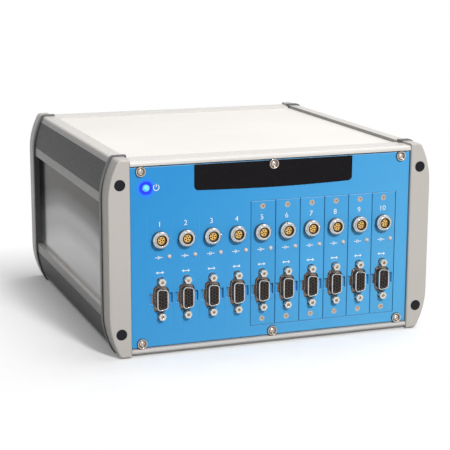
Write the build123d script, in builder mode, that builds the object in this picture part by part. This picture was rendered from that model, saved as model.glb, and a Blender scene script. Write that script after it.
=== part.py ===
from build123d import *
from math import asin, degrees
import os

# Ten-channel bench potentiostat in a metal desk-top case.
# Millimetres, +Z up. The origin is under the middle of the case, on the surface it stands on.
# The front panel faces -Y. Heights named here are counted from the middle of the front panel.

# Case as a whole
case_depth = 250.0
panel_width = 213.0
panel_height = 128.4
panel_thick = 2.5
panel_setback = 2.0
panel_gap = 0.4
close_fit = 0.05

# Die-cast side frames and the line of the case's bowed sides
frame_wide = 15.9
frame_over_panel = 5.8
shoulder_high = 30.0
bow_radius = 60.0
frame_depth = 15.5
frame_wall = 3.0
frame_front_wall = 3.5
frame_corner = 3.0
frame_edge = 1.2
frame_inner_edge = 0.6
boss_radius = 5.0

# Seals between the frames and the body of the case
seal_thick = 4.5
seal_proud = 0.8
seal_width = 6.4
seal_overlap = 1.9
seal_boss_gap = 0.3

# Frame screws and their caps
frame_screw_in = 8.6
frame_screw_drop = 17.2
frame_screw_radius = 2.0
frame_screw_hole = 2.15
frame_screw_head = 3.5
frame_screw_head_depth = 3.2
frame_screw_length = 34.0
cap_radius = 3.9
cap_depth = 1.5

# Corner profiles, dark trims, side panels and covers
profile_drop = 0.3
profile_step = 0.5
profile_high = 32.5
profile_wall = 2.5
profile_web = 4.0
profile_web_below = 6.3
profile_web_above = 5.2
profile_lip = 3.4
profile_corner = 3.0
screw_channel_radius = 2.05
trim_thick = 1.6
trim_start_angle = 4.3
trim_end_angle = 24.7
trim_end_gap = 0.15
side_panel_thick = 2.0
side_panel_recess = 3.4
side_panel_grip = 4.0
cover_thick = 2.0
cover_recess = 2.4
cover_grip = 3.2
slot_fit = 0.1
end_gap = 0.2

# Front and rear rails
rail_nose = 0.6
rail_drop = 1.4
rail_lip_gap = 1.0
rail_nose_radius = 2.2
rail_top_wall = 3.0
rail_flange_high = 7.7
rail_flange_thick = 5.5
rail_web = 3.0
rail_ledge = 5.0
rail_ledge_thick = 2.5
rail_end_gap = 0.3

# Collar screws of the front and rear panels
panel_screw_in = 7.5
panel_screw_mid_x = -1.0
panel_screw_drop = 2.95
panel_screw_radius = 1.25
panel_screw_hole = 1.35
panel_hole_radius = 1.6
panel_screw_head = 2.3
panel_screw_head_high = 1.1
panel_screw_length = 7.5
collar_radius = 3.8
collar_high = 1.6
collar_floor = 0.5
collar_dish = 3.0
collar_lip = 0.4
panel_edge_bevel = 0.4

# Channels
channel_count = 10
built_in_channels = 4
channel_pitch = 19.0
socket_z = 12.9
lamp_x = 6.9
lamp_z = 0.1
aux_x = 0.65
aux_z = -29.8

# Plates of the channels that were fitted as modules
plate_x = 1.1
plate_screw_x = 0.65
opening_drop = 28.9
opening_rise = 7.6
opening_margin = 0.15
plate_gap = 0.2
plate_screw_drop = 4.1
plate_screw_rise = 5.15
plate_screw_radius = 0.95
plate_hole_radius = 1.0
plate_screw_head = 2.0
plate_sink_angle = 90.0
plate_screw_length = 6.5
plate_bevel = 0.3
module_rail_depth = 6.0
module_rail_high = 8.8
module_rail_above = 4.2
module_rail_extra = 3.0
module_rail_overlap = 4.8

# Round push-pull sockets
socket_radius = 4.5
socket_bore = 3.9
socket_seat_bore = 3.05
socket_proud = 5.2
socket_bore_depth = 9.3
socket_rear = 12.5
socket_flange_radius = 5.5
socket_flange_thick = 1.8
socket_hole_radius = 4.6
socket_nut_radius = 5.9
socket_nut_high = 4.6
socket_nut_bevel = 0.7
socket_nut_notches = 4
socket_nut_notch_wide = 1.2
socket_nut_notch_deep = 0.9
socket_nut_turn = 15.0
socket_insert_radius = 3.0
socket_insert_setback = 1.4

# Fifteen-way auxiliary connectors
aux_shell_long = 16.3
aux_shell_wide = 7.9
aux_shell_high = 6.0
aux_shell_wall = 0.5
aux_shell_corner = 2.4
aux_end_angle = 80.0
aux_flange_long = 30.8
aux_flange_wide = 12.5
aux_flange_thick = 1.0
aux_flange_corner = 1.5
aux_pocket_deep = 1.0
aux_pocket_fit = 0.1
aux_body_depth = 9.5
aux_insert_setback = 0.4
aux_opening_long = 20.4
aux_opening_wide = 11.4
aux_opening_corner = 3.2
aux_end_opening = 3.1
aux_ear_half_wide = 8.5
aux_ear_high = 7.7
aux_ear_deep = 2.0
jack_spacing = 24.99
jack_flats = 4.75
jack_high = 5.5
jack_bore = 1.2
jack_bore_deep = 4.5
jack_shank_radius = 1.4
jack_shank_hole = 1.5
jack_shank_long = 8.5

# Lamps
cell_lamp_radius = 1.55
cell_lamp_proud = 1.3
cell_lamp_rear = 4.6
power_lamp_in = 11.4
power_lamp_drop = 14.7
power_lamp_radius = 2.5
power_lamp_proud = 2.4
power_lamp_rear = 5.0
power_lamp_flange = 3.0
power_lamp_flange_thick = 1.0
lamp_fit = 0.08

# Electronics inside
board_thick = 1.6
board_front = 9.0
board_rear = 107.0
board_above = 2.2
board_rise = 2.0
backplane_in = 9.5
backplane_above = 6.2
backplane_below = 3.0
supply_wide = 92.0
supply_deep = 72.0
supply_high = 38.0
supply_x = -48.0
supply_rear = 1.5
supply_wall = 1.5
supply_corner = 2.5

# Rear panel fittings
fitting_row_z = -28.0
inlet_in = 36.5
inlet_flange_wide = 31.0
inlet_flange_high = 23.6
inlet_flange_thick = 2.5
inlet_body_wide = 27.4
inlet_body_high = 20.0
inlet_body_depth = 19.0
inlet_mouth_wide = 24.4
inlet_mouth_high = 16.4
inlet_mouth_deep = 16.5
inlet_mouth_cut = 4.2
inlet_corner = 1.5
blade_wide = 2.0
blade_high = 4.0
blade_setback = 3.5
blade_spread = 7.0
blade_line_z = -2.0
blade_earth_z = 2.0
blade_tail = 7.0
cutout_fit = 0.15
switch_z = 8.0
switch_flange_lip = 1.0
switch_flange_thick = 2.0
switch_side_wall = 1.4
switch_end_wall = 1.2
switch_body_depth = 16.0
switch_cavity_depth = 12.0
rocker_wide = 9.6
rocker_side_gap = 0.3
rocker_half = 7.6
rocker_crest = 5.2
rocker_valley = 3.4
rocker_keel = 3.2
rocker_keel_half = 3.0
rocker_end_gap = 0.9
rocker_pivot_depth = 3.0
rocker_pivot_radius = 1.2
rocker_pivot_length = 1.2
rocker_tilt = 8.0
usb_in = 34.5
usb_wide = 12.0
usb_high = 10.9
usb_wall = 0.5
usb_proud = 1.0
usb_depth = 18.0
usb_tongue_wide = 5.6
usb_tongue_high = 3.2
usb_tongue_setback = 1.5
usb_base = 6.0
usb_board_wide = 50.0
usb_board_high = 40.0
earth_x = -35.0
earth_bore = 2.0
earth_bore_deep = 12.0
earth_radius = 3.9
earth_flange = 5.5
earth_flange_thick = 2.2
earth_rear = 15.0
earth_nut_flats = 10.0
earth_nut_thick = 2.5
vent_count = 12
vent_pitch = 7.0
vent_long = 26.0
vent_wide = 3.0
vent_x = 0.0
vent_z = 32.0

# Places worked out from the sizes above
panel_half_width = panel_width / 2
panel_half_height = panel_height / 2
frame_inner = panel_half_width + panel_gap
frame_half_width = frame_inner + frame_wide
frame_half_height = panel_half_height + frame_over_panel
side_straight_half = frame_half_height - shoulder_high
mid_height = frame_half_height + seal_proud
front_y = -case_depth / 2
panel_front = front_y + panel_setback
panel_back = panel_front + panel_thick
frame_back = front_y + frame_depth
body_front = frame_back + seal_thick
bow_centre = frame_half_width - bow_radius
seal_inner = frame_inner - seal_overlap
frame_screw_x = frame_half_width - frame_screw_in
frame_screw_z = frame_half_height - frame_screw_drop
profile_top = frame_half_height - profile_drop
profile_side = frame_half_width - profile_drop
cover_top = profile_top - cover_recess
cover_foot = cover_top - cover_thick
side_panel_face = profile_side - side_panel_recess
side_panel_back = side_panel_face - side_panel_thick
profile_inner = seal_inner + profile_step
profile_foot = frame_half_height - profile_high
profile_wall_x = side_panel_back - profile_wall
profile_web_x = profile_inner + profile_web
profile_web_low = frame_screw_z - profile_web_below
profile_web_high = frame_screw_z + profile_web_above
rail_top = frame_half_height - rail_drop
rail_lip = panel_half_height + rail_lip_gap
rail_flange_foot = panel_half_height - rail_flange_high
panel_screw_x = panel_half_width - panel_screw_in
panel_screw_z = panel_half_height - panel_screw_drop
channel_left = -channel_pitch * (channel_count - 1) / 2
channel_xs = [channel_left + channel_pitch * n for n in range(channel_count)]
built_in_xs = channel_xs[:built_in_channels]
module_xs = channel_xs[built_in_channels:]
opening_top = panel_half_height - opening_drop
opening_foot = opening_rise - panel_half_height
opening_left = module_xs[0] + plate_x - channel_pitch / 2 - opening_margin
opening_right = module_xs[-1] + plate_x + channel_pitch / 2 + opening_margin
opening_mid_x = (opening_left + opening_right) / 2
opening_mid_z = (opening_top + opening_foot) / 2
plate_screw_rows = [opening_top - plate_screw_drop, opening_foot + plate_screw_rise]
power_lamp_x = power_lamp_in - panel_half_width
power_lamp_z = panel_half_height - power_lamp_drop
inlet_x = panel_half_width - inlet_in
usb_x = usb_in - panel_half_width
frame_screw_spots = [(frame_screw_x, frame_screw_z), (frame_screw_x, -frame_screw_z)]
panel_screw_spots = [
    (x, z)
    for x in (-panel_screw_x, panel_screw_mid_x, panel_screw_x)
    for z in (panel_screw_z, -panel_screw_z)
]
jack_spots = [(0, jack_spacing / 2), (0, -jack_spacing / 2)]
flip_side = Plane.YZ
flip_rear = Plane.XZ
flip_foot = Plane.XY.offset(mid_height)


def facing(y):
    """Upright plane at depth y, drawn as seen from the front, with its origin at mid height."""
    return Plane(origin=(0, y, mid_height), x_dir=(1, 0, 0), z_dir=(0, -1, 0))


def facing_rear(y):
    """Upright plane at depth y that looks out at the back, with its origin at mid height."""
    return Plane(origin=(0, y, mid_height), x_dir=(-1, 0, 0), z_dir=(0, 1, 0))


def lengthwise(x):
    """Upright plane at x, drawn with depth across and height up."""
    return Plane(origin=(x, 0, mid_height), x_dir=(0, 1, 0), z_dir=(1, 0, 0))


def dome(base_radius, high):
    """Arc of a shallow dome on the Y axis, from its rim at y = 0 to its tip in front."""
    radius = (base_radius**2 + high**2) / (2 * high)
    sweep = degrees(asin(base_radius / radius))
    return CenterArc((radius - high, 0), radius, 180 - sweep, sweep)


def save(piece, label):
    """Name a finished piece and write it to its own file."""
    piece.part.label = label
    export_step(piece.part, f"parts/{label}.step")


def mirrored(piece, plane):
    """The same piece on the other side of a plane."""
    with BuildPart() as copy:
        mirror(piece.part, about=plane)
    return copy


def case_outline(grow, inner_edge, corner=0):
    """Right-hand end of the case: flat top and foot, straight side, and two bowed shoulders."""
    half_height = frame_half_height + grow
    radius = bow_radius + grow
    sweep = degrees(asin((half_height - side_straight_half) / radius))
    with BuildSketch() as outline:
        with BuildLine():
            upper = CenterArc((bow_centre, side_straight_half), radius, 0, sweep)
            lower = CenterArc((bow_centre, -side_straight_half), radius, -sweep, sweep)
            Line(lower @ 1, upper @ 0)
            Polyline(upper @ 1, (inner_edge, half_height), (inner_edge, -half_height), lower @ 0)
        make_face()
        if corner:
            rows = outline.vertices().group_by(Axis.Y)
            fillet([rows[0].sort_by(Axis.X)[-1], rows[-1].sort_by(Axis.X)[-1]], corner)
    return outline.sketch


def shoulder_band(inner_radius, outer_radius, start_angle, end_angle):
    """Strip that follows the bowed upper shoulder between two angles."""
    sweep = end_angle - start_angle
    with BuildSketch() as band:
        with BuildLine():
            inside = CenterArc((bow_centre, side_straight_half), inner_radius, start_angle, sweep)
            outside = CenterArc((bow_centre, side_straight_half), outer_radius, start_angle, sweep)
            Line(inside @ 0, outside @ 0)
            Line(inside @ 1, outside @ 1)
        make_face()
    return band.sketch


os.makedirs("parts", exist_ok=True)

# Side frames: hollow castings with a boss behind each screw
frame_shape = case_outline(0, frame_inner, frame_corner)
frame_hollow = case_outline(-frame_wall, frame_inner + frame_wall)
with BuildPart() as frame:
    with BuildSketch(facing(frame_back)):
        add(frame_shape)
    extrude(amount=frame_depth)
    front_edges = frame.faces().sort_by(Axis.Y)[0].edges()
    inner_edge = front_edges.sort_by(Axis.X)[0]
    chamfer(inner_edge, frame_inner_edge)
    bowed_edges = frame.faces().sort_by(Axis.Y)[0].edges().sort_by(Axis.X)[1:]
    fillet(bowed_edges, frame_edge)
    with BuildSketch(facing(frame_back)):
        add(frame_hollow)
        with Locations(*frame_screw_spots):
            Circle(boss_radius, mode=Mode.SUBTRACT)
    extrude(amount=frame_depth - frame_front_wall, mode=Mode.SUBTRACT)
    with BuildSketch(facing(body_front)):
        with Locations(*frame_screw_spots):
            Circle(boss_radius)
    extrude(amount=seal_thick)
    with Locations(facing(front_y)):
        with Locations(*frame_screw_spots):
            CounterBoreHole(frame_screw_hole, cap_radius + close_fit, cap_depth + frame_screw_head_depth)
save(frame, "front_frame_right")
save(mirrored(frame, flip_side), "front_frame_left")
rear_frame = mirrored(frame, flip_rear)
save(rear_frame, "rear_frame_right")
save(mirrored(rear_frame, flip_side), "rear_frame_left")

# Seals: a thin ring behind each frame that stands a little proud of it
seal_shape = case_outline(seal_proud, seal_inner, frame_corner + seal_proud)
seal_window = case_outline(seal_proud - seal_width, seal_inner + seal_width)
with BuildPart() as seal:
    with BuildSketch(facing(body_front)):
        add(seal_shape)
        add(seal_window, mode=Mode.SUBTRACT)
        with Locations(*frame_screw_spots):
            Circle(boss_radius + seal_boss_gap, mode=Mode.SUBTRACT)
    extrude(amount=seal_thick)
save(seal, "front_seal_right")
save(mirrored(seal, flip_side), "front_seal_left")
rear_seal = mirrored(seal, flip_rear)
save(rear_seal, "rear_seal_right")
save(mirrored(rear_seal, flip_side), "rear_seal_left")

# Corner profiles: extrusions with slots for the cover and side panel, and a screw channel
body_length = -2 * body_front
trim_face = bow_radius - profile_drop
trim_gap_angle = degrees(trim_end_gap / bow_radius)
profile_shape = case_outline(-profile_drop, profile_inner, profile_corner)
trim_groove = shoulder_band(
    trim_face - trim_thick,
    bow_radius + profile_drop,
    trim_start_angle,
    trim_end_angle,
)
trim_shape = shoulder_band(
    trim_face - trim_thick,
    trim_face,
    trim_start_angle + trim_gap_angle,
    trim_end_angle - trim_gap_angle,
)
with BuildPart() as profile:
    with BuildSketch(facing(-body_front)):
        add(profile_shape)
        with BuildLine():
            Polyline(
                (profile_inner, cover_foot - profile_lip),
                (profile_web_x, profile_web_high),
                (profile_web_x, profile_web_low),
                (profile_wall_x, profile_web_low - profile_lip),
                (profile_wall_x, profile_foot),
                (frame_half_width, profile_foot),
                (frame_half_width, frame_half_height),
                (profile_inner, frame_half_height),
                close=True,
            )
        make_face(mode=Mode.INTERSECT)
        with Locations((profile_inner, cover_foot - slot_fit)):
            Rectangle(
                cover_grip + slot_fit,
                cover_thick + 2 * slot_fit,
                align=(Align.MIN, Align.MIN),
                mode=Mode.SUBTRACT,
            )
        with Locations((side_panel_back - slot_fit, profile_foot)):
            Rectangle(
                side_panel_thick + 2 * slot_fit,
                side_panel_grip + slot_fit,
                align=(Align.MIN, Align.MIN),
                mode=Mode.SUBTRACT,
            )
        add(trim_groove, mode=Mode.SUBTRACT)
        with Locations(frame_screw_spots[0]):
            Circle(screw_channel_radius, mode=Mode.SUBTRACT)
    extrude(amount=body_length)
save(profile, "upper_profile_right")
save(mirrored(profile, flip_side), "upper_profile_left")
lower_profile = mirrored(profile, flip_foot)
save(lower_profile, "lower_profile_right")
save(mirrored(lower_profile, flip_side), "lower_profile_left")

# Dark trims let in flush along the bowed shoulders
with BuildPart() as trim:
    with BuildSketch(facing(-body_front)):
        add(trim_shape)
    extrude(amount=body_length)
save(trim, "upper_trim_right")
save(mirrored(trim, flip_side), "upper_trim_left")
lower_trim = mirrored(trim, flip_foot)
save(lower_trim, "lower_trim_right")
save(mirrored(lower_trim, flip_side), "lower_trim_left")

# Side panels, held in the slots of the upper and lower profiles
with BuildPart() as side_panel:
    with BuildSketch(facing(-body_front - end_gap)):
        with Locations(((side_panel_face + side_panel_back) / 2, 0)):
            Rectangle(side_panel_thick, 2 * (profile_foot + side_panel_grip))
    extrude(amount=body_length - 2 * end_gap)
save(side_panel, "side_panel_right")
save(mirrored(side_panel, flip_side), "side_panel_left")

# Top and bottom covers, held in the slots of the profiles
with BuildPart() as cover:
    with BuildSketch(facing(-body_front - end_gap)):
        with Locations((0, (cover_top + cover_foot) / 2)):
            Rectangle(2 * (profile_inner + cover_grip), cover_thick)
    extrude(amount=body_length - 2 * end_gap)
save(cover, "top_cover")
save(mirrored(cover, flip_foot), "bottom_cover")

# Rails across the front and back: a rounded nose, a flange behind the panel, and a ledge for the cover
rail_front = front_y + rail_nose
flange_back = panel_back + rail_flange_thick
with BuildSketch() as rail_section:
    with BuildLine():
        Polyline(
            (rail_front, rail_lip),
            (rail_front, rail_top),
            (body_front, rail_top),
            (body_front, cover_foot),
            (body_front + rail_ledge, cover_foot),
            (body_front + rail_ledge, cover_foot - rail_ledge_thick),
            (body_front - rail_web, cover_foot - rail_ledge_thick),
            (body_front - rail_web, rail_top - rail_top_wall),
            (flange_back, rail_top - rail_top_wall),
            (flange_back, rail_flange_foot),
            (panel_back, rail_flange_foot),
            (panel_back, rail_lip),
            close=True,
        )
    make_face()
    fillet(rail_section.vertices().group_by(Axis.Y)[-1].sort_by(Axis.X)[0], rail_nose_radius)
with BuildPart() as rail:
    with BuildSketch(lengthwise(0)):
        add(rail_section.sketch)
    extrude(amount=seal_inner - end_gap, both=True)
    with BuildSketch(lengthwise(0)):
        add(rail_section.sketch)
        with Locations((frame_back, 0)):
            Rectangle(case_depth, 2 * frame_half_height, align=(Align.MIN, Align.CENTER), mode=Mode.SUBTRACT)
    extrude(amount=frame_inner - rail_end_gap, both=True)
    with Locations(facing(panel_back)):
        with Locations(*[spot for spot in panel_screw_spots if spot[1] > 0]):
            Hole(panel_screw_hole, depth=rail_flange_thick)
save(rail, "front_rail_upper")
save(mirrored(rail, flip_foot), "front_rail_lower")
rear_rail = mirrored(rail, flip_rear)
save(rear_rail, "rear_rail_upper")
save(mirrored(rear_rail, flip_foot), "rear_rail_lower")

# One channel in the front panel or in a module plate: its openings, the shallow ears beside the
# auxiliary connector, and the seat milled behind for the connector's flange
with BuildSketch() as aux_opening:
    Trapezoid(aux_opening_long, aux_opening_wide, aux_end_angle, rotation=-90)
    fillet(aux_opening.vertices(), aux_opening_corner)
    with Locations(*jack_spots):
        Circle(aux_end_opening)
with BuildSketch() as channel_openings:
    with Locations((0, socket_z)):
        Circle(socket_hole_radius)
    with Locations((lamp_x, lamp_z)):
        Circle(cell_lamp_radius + lamp_fit)
    with Locations((aux_x, aux_z)):
        add(aux_opening.sketch)
with BuildSketch() as aux_ears:
    with Locations((aux_x, aux_z)):
        Rectangle(2 * aux_ear_half_wide, aux_ear_high)
with BuildSketch() as aux_seat:
    with Locations((aux_x, aux_z)):
        RectangleRounded(
            aux_flange_wide + 2 * aux_pocket_fit,
            aux_flange_long + 2 * aux_pocket_fit,
            aux_flange_corner,
        )

# Front panel: four channels of its own, and one opening for the six module plates
with BuildPart() as front_panel:
    with BuildSketch(facing(panel_back)):
        Rectangle(panel_width, panel_height)
    extrude(amount=panel_thick)
    chamfer(front_panel.faces().sort_by(Axis.Y)[0].edges(), panel_edge_bevel)
    with BuildSketch(facing(panel_back)):
        with Locations((opening_mid_x, opening_mid_z)):
            Rectangle(opening_right - opening_left, opening_top - opening_foot)
        with Locations(*panel_screw_spots):
            Circle(panel_hole_radius)
        with Locations((power_lamp_x, power_lamp_z)):
            Circle(power_lamp_radius + lamp_fit)
        with Locations(*[(x, 0) for x in built_in_xs]):
            add(channel_openings.sketch)
    extrude(amount=panel_thick, mode=Mode.SUBTRACT)
    with BuildSketch(facing(panel_front)):
        with Locations(*[(x, 0) for x in built_in_xs]):
            add(aux_ears.sketch)
    extrude(amount=-aux_ear_deep, mode=Mode.SUBTRACT)
    with BuildSketch(facing(panel_back)):
        with Locations(*[(x, 0) for x in built_in_xs]):
            add(aux_seat.sketch)
    extrude(amount=aux_pocket_deep, mode=Mode.SUBTRACT)
save(front_panel, "front_panel")

# Module plates, one for each added channel
for number, x in enumerate(module_xs, built_in_channels + 1):
    with BuildPart() as module_plate:
        with BuildSketch(facing(panel_back)):
            with Locations((x + plate_x, opening_mid_z)):
                Rectangle(channel_pitch - 2 * plate_gap, opening_top - opening_foot - 2 * plate_gap)
        extrude(amount=panel_thick)
        chamfer(module_plate.faces().sort_by(Axis.Y)[0].edges(), plate_bevel)
        with BuildSketch(facing(panel_back)):
            with Locations((x, 0)):
                add(channel_openings.sketch)
        extrude(amount=panel_thick, mode=Mode.SUBTRACT)
        with BuildSketch(facing(panel_front)):
            with Locations((x, 0)):
                add(aux_ears.sketch)
        extrude(amount=-aux_ear_deep, mode=Mode.SUBTRACT)
        with BuildSketch(facing(panel_back)):
            with Locations((x, 0)):
                add(aux_seat.sketch)
        extrude(amount=aux_pocket_deep, mode=Mode.SUBTRACT)
        with Locations(facing(panel_front)):
            with Locations(*[(x + plate_screw_x, z) for z in plate_screw_rows]):
                CounterSinkHole(
                    plate_hole_radius,
                    plate_screw_head + close_fit,
                    depth=panel_thick,
                    counter_sink_angle=plate_sink_angle,
                )
    save(module_plate, f"module_plate_{number:02d}")

# Rails behind the panel that carry the module plates
rail_spots = [(x + plate_screw_x, z) for x in module_xs for z in plate_screw_rows]
module_rail_long = opening_right - opening_left + 2 * module_rail_overlap
upper_rail_high = module_rail_high + module_rail_extra
for label, rail_foot, rail_high in (
    ("module_rail_upper", opening_top + module_rail_above - upper_rail_high, upper_rail_high),
    ("module_rail_lower", -rail_flange_foot, module_rail_high),
):
    with BuildPart() as module_rail:
        with BuildSketch(facing(panel_back + module_rail_depth)):
            with Locations((opening_mid_x, rail_foot)):
                Rectangle(module_rail_long, rail_high, align=(Align.CENTER, Align.MIN))
            with Locations(*[spot for spot in rail_spots if rail_foot < spot[1] < rail_foot + rail_high]):
                Circle(plate_screw_radius, mode=Mode.SUBTRACT)
        extrude(amount=module_rail_depth)
    save(module_rail, label)

# Countersunk screws of the module plates
with BuildPart() as plate_screw:
    with BuildSketch(Plane.YZ):
        with BuildLine():
            Polyline(
                (0, 0),
                (0, plate_screw_head),
                (plate_screw_head - plate_screw_radius, plate_screw_radius),
                (plate_screw_length, plate_screw_radius),
                (plate_screw_length, 0),
                close=True,
            )
        make_face()
    revolve(axis=Axis.Y)
with BuildPart() as module_plate_screws:
    with Locations(*[(x, panel_front, mid_height + z) for x, z in rail_spots]):
        add(plate_screw.part)
save(module_plate_screws, "module_plate_screws")

# Collar screws of the panels: a dished collar, and a round-headed screw low in the dish
with BuildPart() as collar:
    with BuildSketch(Plane.YZ):
        with BuildLine():
            Polyline(
                (0, panel_hole_radius),
                (0, collar_radius),
                (-collar_floor, collar_radius),
                (-collar_high, collar_dish + collar_lip),
                (-collar_high, collar_dish),
                (-collar_floor, panel_screw_head + close_fit),
                (-collar_floor, panel_hole_radius),
                close=True,
            )
        make_face()
    revolve(axis=Axis.Y)
head_dome = dome(panel_screw_head, panel_screw_head_high)
with BuildPart() as panel_screw:
    with BuildSketch(Plane.YZ):
        with BuildLine():
            tip = add(head_dome).edges()[0]
            Polyline(
                tip @ 1,
                (panel_screw_length, 0),
                (panel_screw_length, panel_screw_radius),
                (0, panel_screw_radius),
                tip @ 0,
            )
        make_face()
    revolve(axis=Axis.Y)
for label, piece, rise in (
    ("panel_collars", collar, 0),
    ("panel_screws", panel_screw, collar_floor),
):
    with BuildPart() as front_set:
        with Locations(*[(x, panel_front - rise, mid_height + z) for x, z in panel_screw_spots]):
            add(piece.part)
    with BuildPart() as panel_set:
        add(front_set.part)
        mirror(front_set.part, about=flip_rear)
    save(panel_set, label)

# Frame screws and the caps that cover them
with BuildPart() as corner_screws:
    with BuildSketch(facing(front_y + cap_depth + frame_screw_head_depth)):
        with Locations(*frame_screw_spots):
            Circle(frame_screw_head)
    extrude(amount=frame_screw_head_depth)
    with BuildSketch(facing(front_y + cap_depth + frame_screw_head_depth)):
        with Locations(*frame_screw_spots):
            Circle(frame_screw_radius)
    extrude(amount=-frame_screw_length)
with BuildPart() as corner_caps:
    with BuildSketch(facing(front_y + cap_depth)):
        with Locations(*frame_screw_spots):
            Circle(cap_radius)
    extrude(amount=cap_depth)
for label, piece in (("frame_screws", corner_screws), ("frame_screw_caps", corner_caps)):
    with BuildPart() as front_pieces:
        add(piece.part)
        mirror(piece.part, about=flip_side)
    with BuildPart() as all_pieces:
        add(front_pieces.part)
        mirror(front_pieces.part, about=flip_rear)
    save(all_pieces, label)

# Round sockets: turned body with a rear flange, slotted ring nut, and contact insert
with BuildPart() as socket_body:
    with BuildSketch(Plane.YZ):
        with BuildLine():
            Polyline(
                (-socket_proud, socket_bore),
                (-socket_proud, socket_radius),
                (panel_thick, socket_radius),
                (panel_thick, socket_flange_radius),
                (panel_thick + socket_flange_thick, socket_flange_radius),
                (panel_thick + socket_flange_thick, socket_radius),
                (socket_rear, socket_radius),
                (socket_rear, socket_seat_bore),
                (socket_bore_depth - socket_proud, socket_seat_bore),
                (socket_bore_depth - socket_proud, socket_bore),
                close=True,
            )
        make_face()
    revolve(axis=Axis.Y)
with BuildPart() as socket_nut:
    with BuildSketch(Plane.XZ):
        Circle(socket_nut_radius)
        Circle(socket_radius + close_fit, mode=Mode.SUBTRACT)
    extrude(amount=socket_nut_high)
    rim = socket_nut.edges().group_by(Axis.Y)[0].sort_by(SortBy.RADIUS)[-1]
    chamfer(rim, socket_nut_bevel)
    with BuildSketch(Plane.XZ.offset(socket_nut_high)):
        with PolarLocations(socket_nut_radius, socket_nut_notches, socket_nut_turn):
            Rectangle(2 * socket_nut_notch_deep, socket_nut_notch_wide)
    extrude(amount=-socket_nut_notch_deep, mode=Mode.SUBTRACT)
with BuildPart() as socket_insert:
    with BuildSketch(Plane.XZ.offset(socket_proud - socket_insert_setback)):
        Circle(socket_insert_radius)
    extrude(amount=-(socket_proud - socket_insert_setback + socket_rear - panel_setback))
socket_places = [(x, panel_front, mid_height + socket_z) for x in channel_xs]
for label, piece in (
    ("socket_bodies", socket_body),
    ("socket_nuts", socket_nut),
    ("socket_inserts", socket_insert),
):
    with BuildPart() as socket_set:
        with Locations(*socket_places):
            add(piece.part)
    save(socket_set, label)

# Auxiliary connectors: pressed shell with its flange, moulded insert, and two jack posts
shell_inner_corner = aux_shell_corner - aux_shell_wall


def connector_outline(shrink, corner):
    """D-shaped outline, with its long side to the left, made smaller all round by shrink."""
    with BuildSketch() as outline:
        Trapezoid(aux_shell_long - 2 * shrink, aux_shell_wide - 2 * shrink, aux_end_angle, rotation=-90)
        fillet(outline.vertices(), corner)
    return outline.sketch


shell_outline = connector_outline(0, aux_shell_corner)
shell_bore = connector_outline(aux_shell_wall, shell_inner_corner)
nose_outline = connector_outline(aux_shell_wall + close_fit, shell_inner_corner)
with BuildPart() as aux_shell:
    with BuildSketch(Plane.XZ.offset(-aux_flange_thick)):
        RectangleRounded(aux_flange_wide, aux_flange_long, aux_flange_corner)
    extrude(amount=aux_flange_thick)
    with BuildSketch(Plane.XZ):
        add(shell_outline)
    extrude(amount=aux_shell_high)
    with BuildSketch(Plane.XZ.offset(aux_shell_high)):
        add(shell_bore)
    extrude(amount=-(aux_shell_high + aux_flange_thick), mode=Mode.SUBTRACT)
    with BuildSketch(Plane.XZ):
        with Locations(*jack_spots):
            Circle(jack_shank_hole)
    extrude(amount=-aux_flange_thick, mode=Mode.SUBTRACT)
with BuildPart() as aux_insert:
    with BuildSketch(Plane.XZ.offset(-aux_flange_thick)):
        add(nose_outline)
    extrude(amount=aux_flange_thick + aux_shell_high - aux_insert_setback)
    with BuildSketch(Plane.XZ.offset(-aux_flange_thick)):
        Rectangle(aux_flange_wide, aux_flange_long)
        with Locations(*jack_spots):
            Circle(jack_shank_hole, mode=Mode.SUBTRACT)
    extrude(amount=-aux_body_depth)
with BuildPart() as jack_posts:
    with BuildSketch(Plane.XZ):
        with Locations(*jack_spots):
            RegularPolygon(jack_flats / 2, 6, major_radius=False)
    extrude(amount=jack_high)
    with BuildSketch(Plane.XZ):
        with Locations(*jack_spots):
            Circle(jack_shank_radius)
    extrude(amount=-jack_shank_long)
    with BuildSketch(Plane.XZ.offset(jack_high)):
        with Locations(*jack_spots):
            Circle(jack_bore)
    extrude(amount=-jack_bore_deep, mode=Mode.SUBTRACT)
aux_places = [(x + aux_x, panel_back - aux_pocket_deep, mid_height + aux_z) for x in channel_xs]
for label, piece in (("aux_shells", aux_shell), ("aux_inserts", aux_insert), ("aux_jack_posts", jack_posts)):
    with BuildPart() as aux_set:
        with Locations(*aux_places):
            add(piece.part)
    save(aux_set, label)

# Lamps: a small dome in each channel, and the larger power lamp with its rear flange
cell_lamp_dome = dome(cell_lamp_radius, cell_lamp_proud)
power_lamp_dome = dome(power_lamp_radius, power_lamp_proud)
with BuildPart() as cell_lamp:
    with BuildSketch(Plane.YZ):
        with BuildLine():
            tip = add(cell_lamp_dome).edges()[0]
            Polyline(tip @ 1, (cell_lamp_rear, 0), (cell_lamp_rear, cell_lamp_radius), tip @ 0)
        make_face()
    revolve(axis=Axis.Y)
with BuildPart() as cell_lamps:
    with Locations(*[(x + lamp_x, panel_front, mid_height + lamp_z) for x in channel_xs]):
        add(cell_lamp.part)
save(cell_lamps, "cell_lamps")
lamp_flange_back = panel_thick + power_lamp_flange_thick
with BuildPart() as power_lamp_piece:
    with BuildSketch(Plane.YZ):
        with BuildLine():
            tip = add(power_lamp_dome).edges()[0]
            Polyline(
                tip @ 1,
                (panel_thick + power_lamp_rear, 0),
                (panel_thick + power_lamp_rear, power_lamp_radius),
                (lamp_flange_back, power_lamp_radius),
                (lamp_flange_back, power_lamp_flange),
                (panel_thick, power_lamp_flange),
                (panel_thick, power_lamp_radius),
                tip @ 0,
            )
        make_face()
    revolve(axis=Axis.Y)
with BuildPart() as power_lamp:
    with Locations((power_lamp_x, panel_front, mid_height + power_lamp_z)):
        add(power_lamp_piece.part)
save(power_lamp, "power_lamp")

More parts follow.
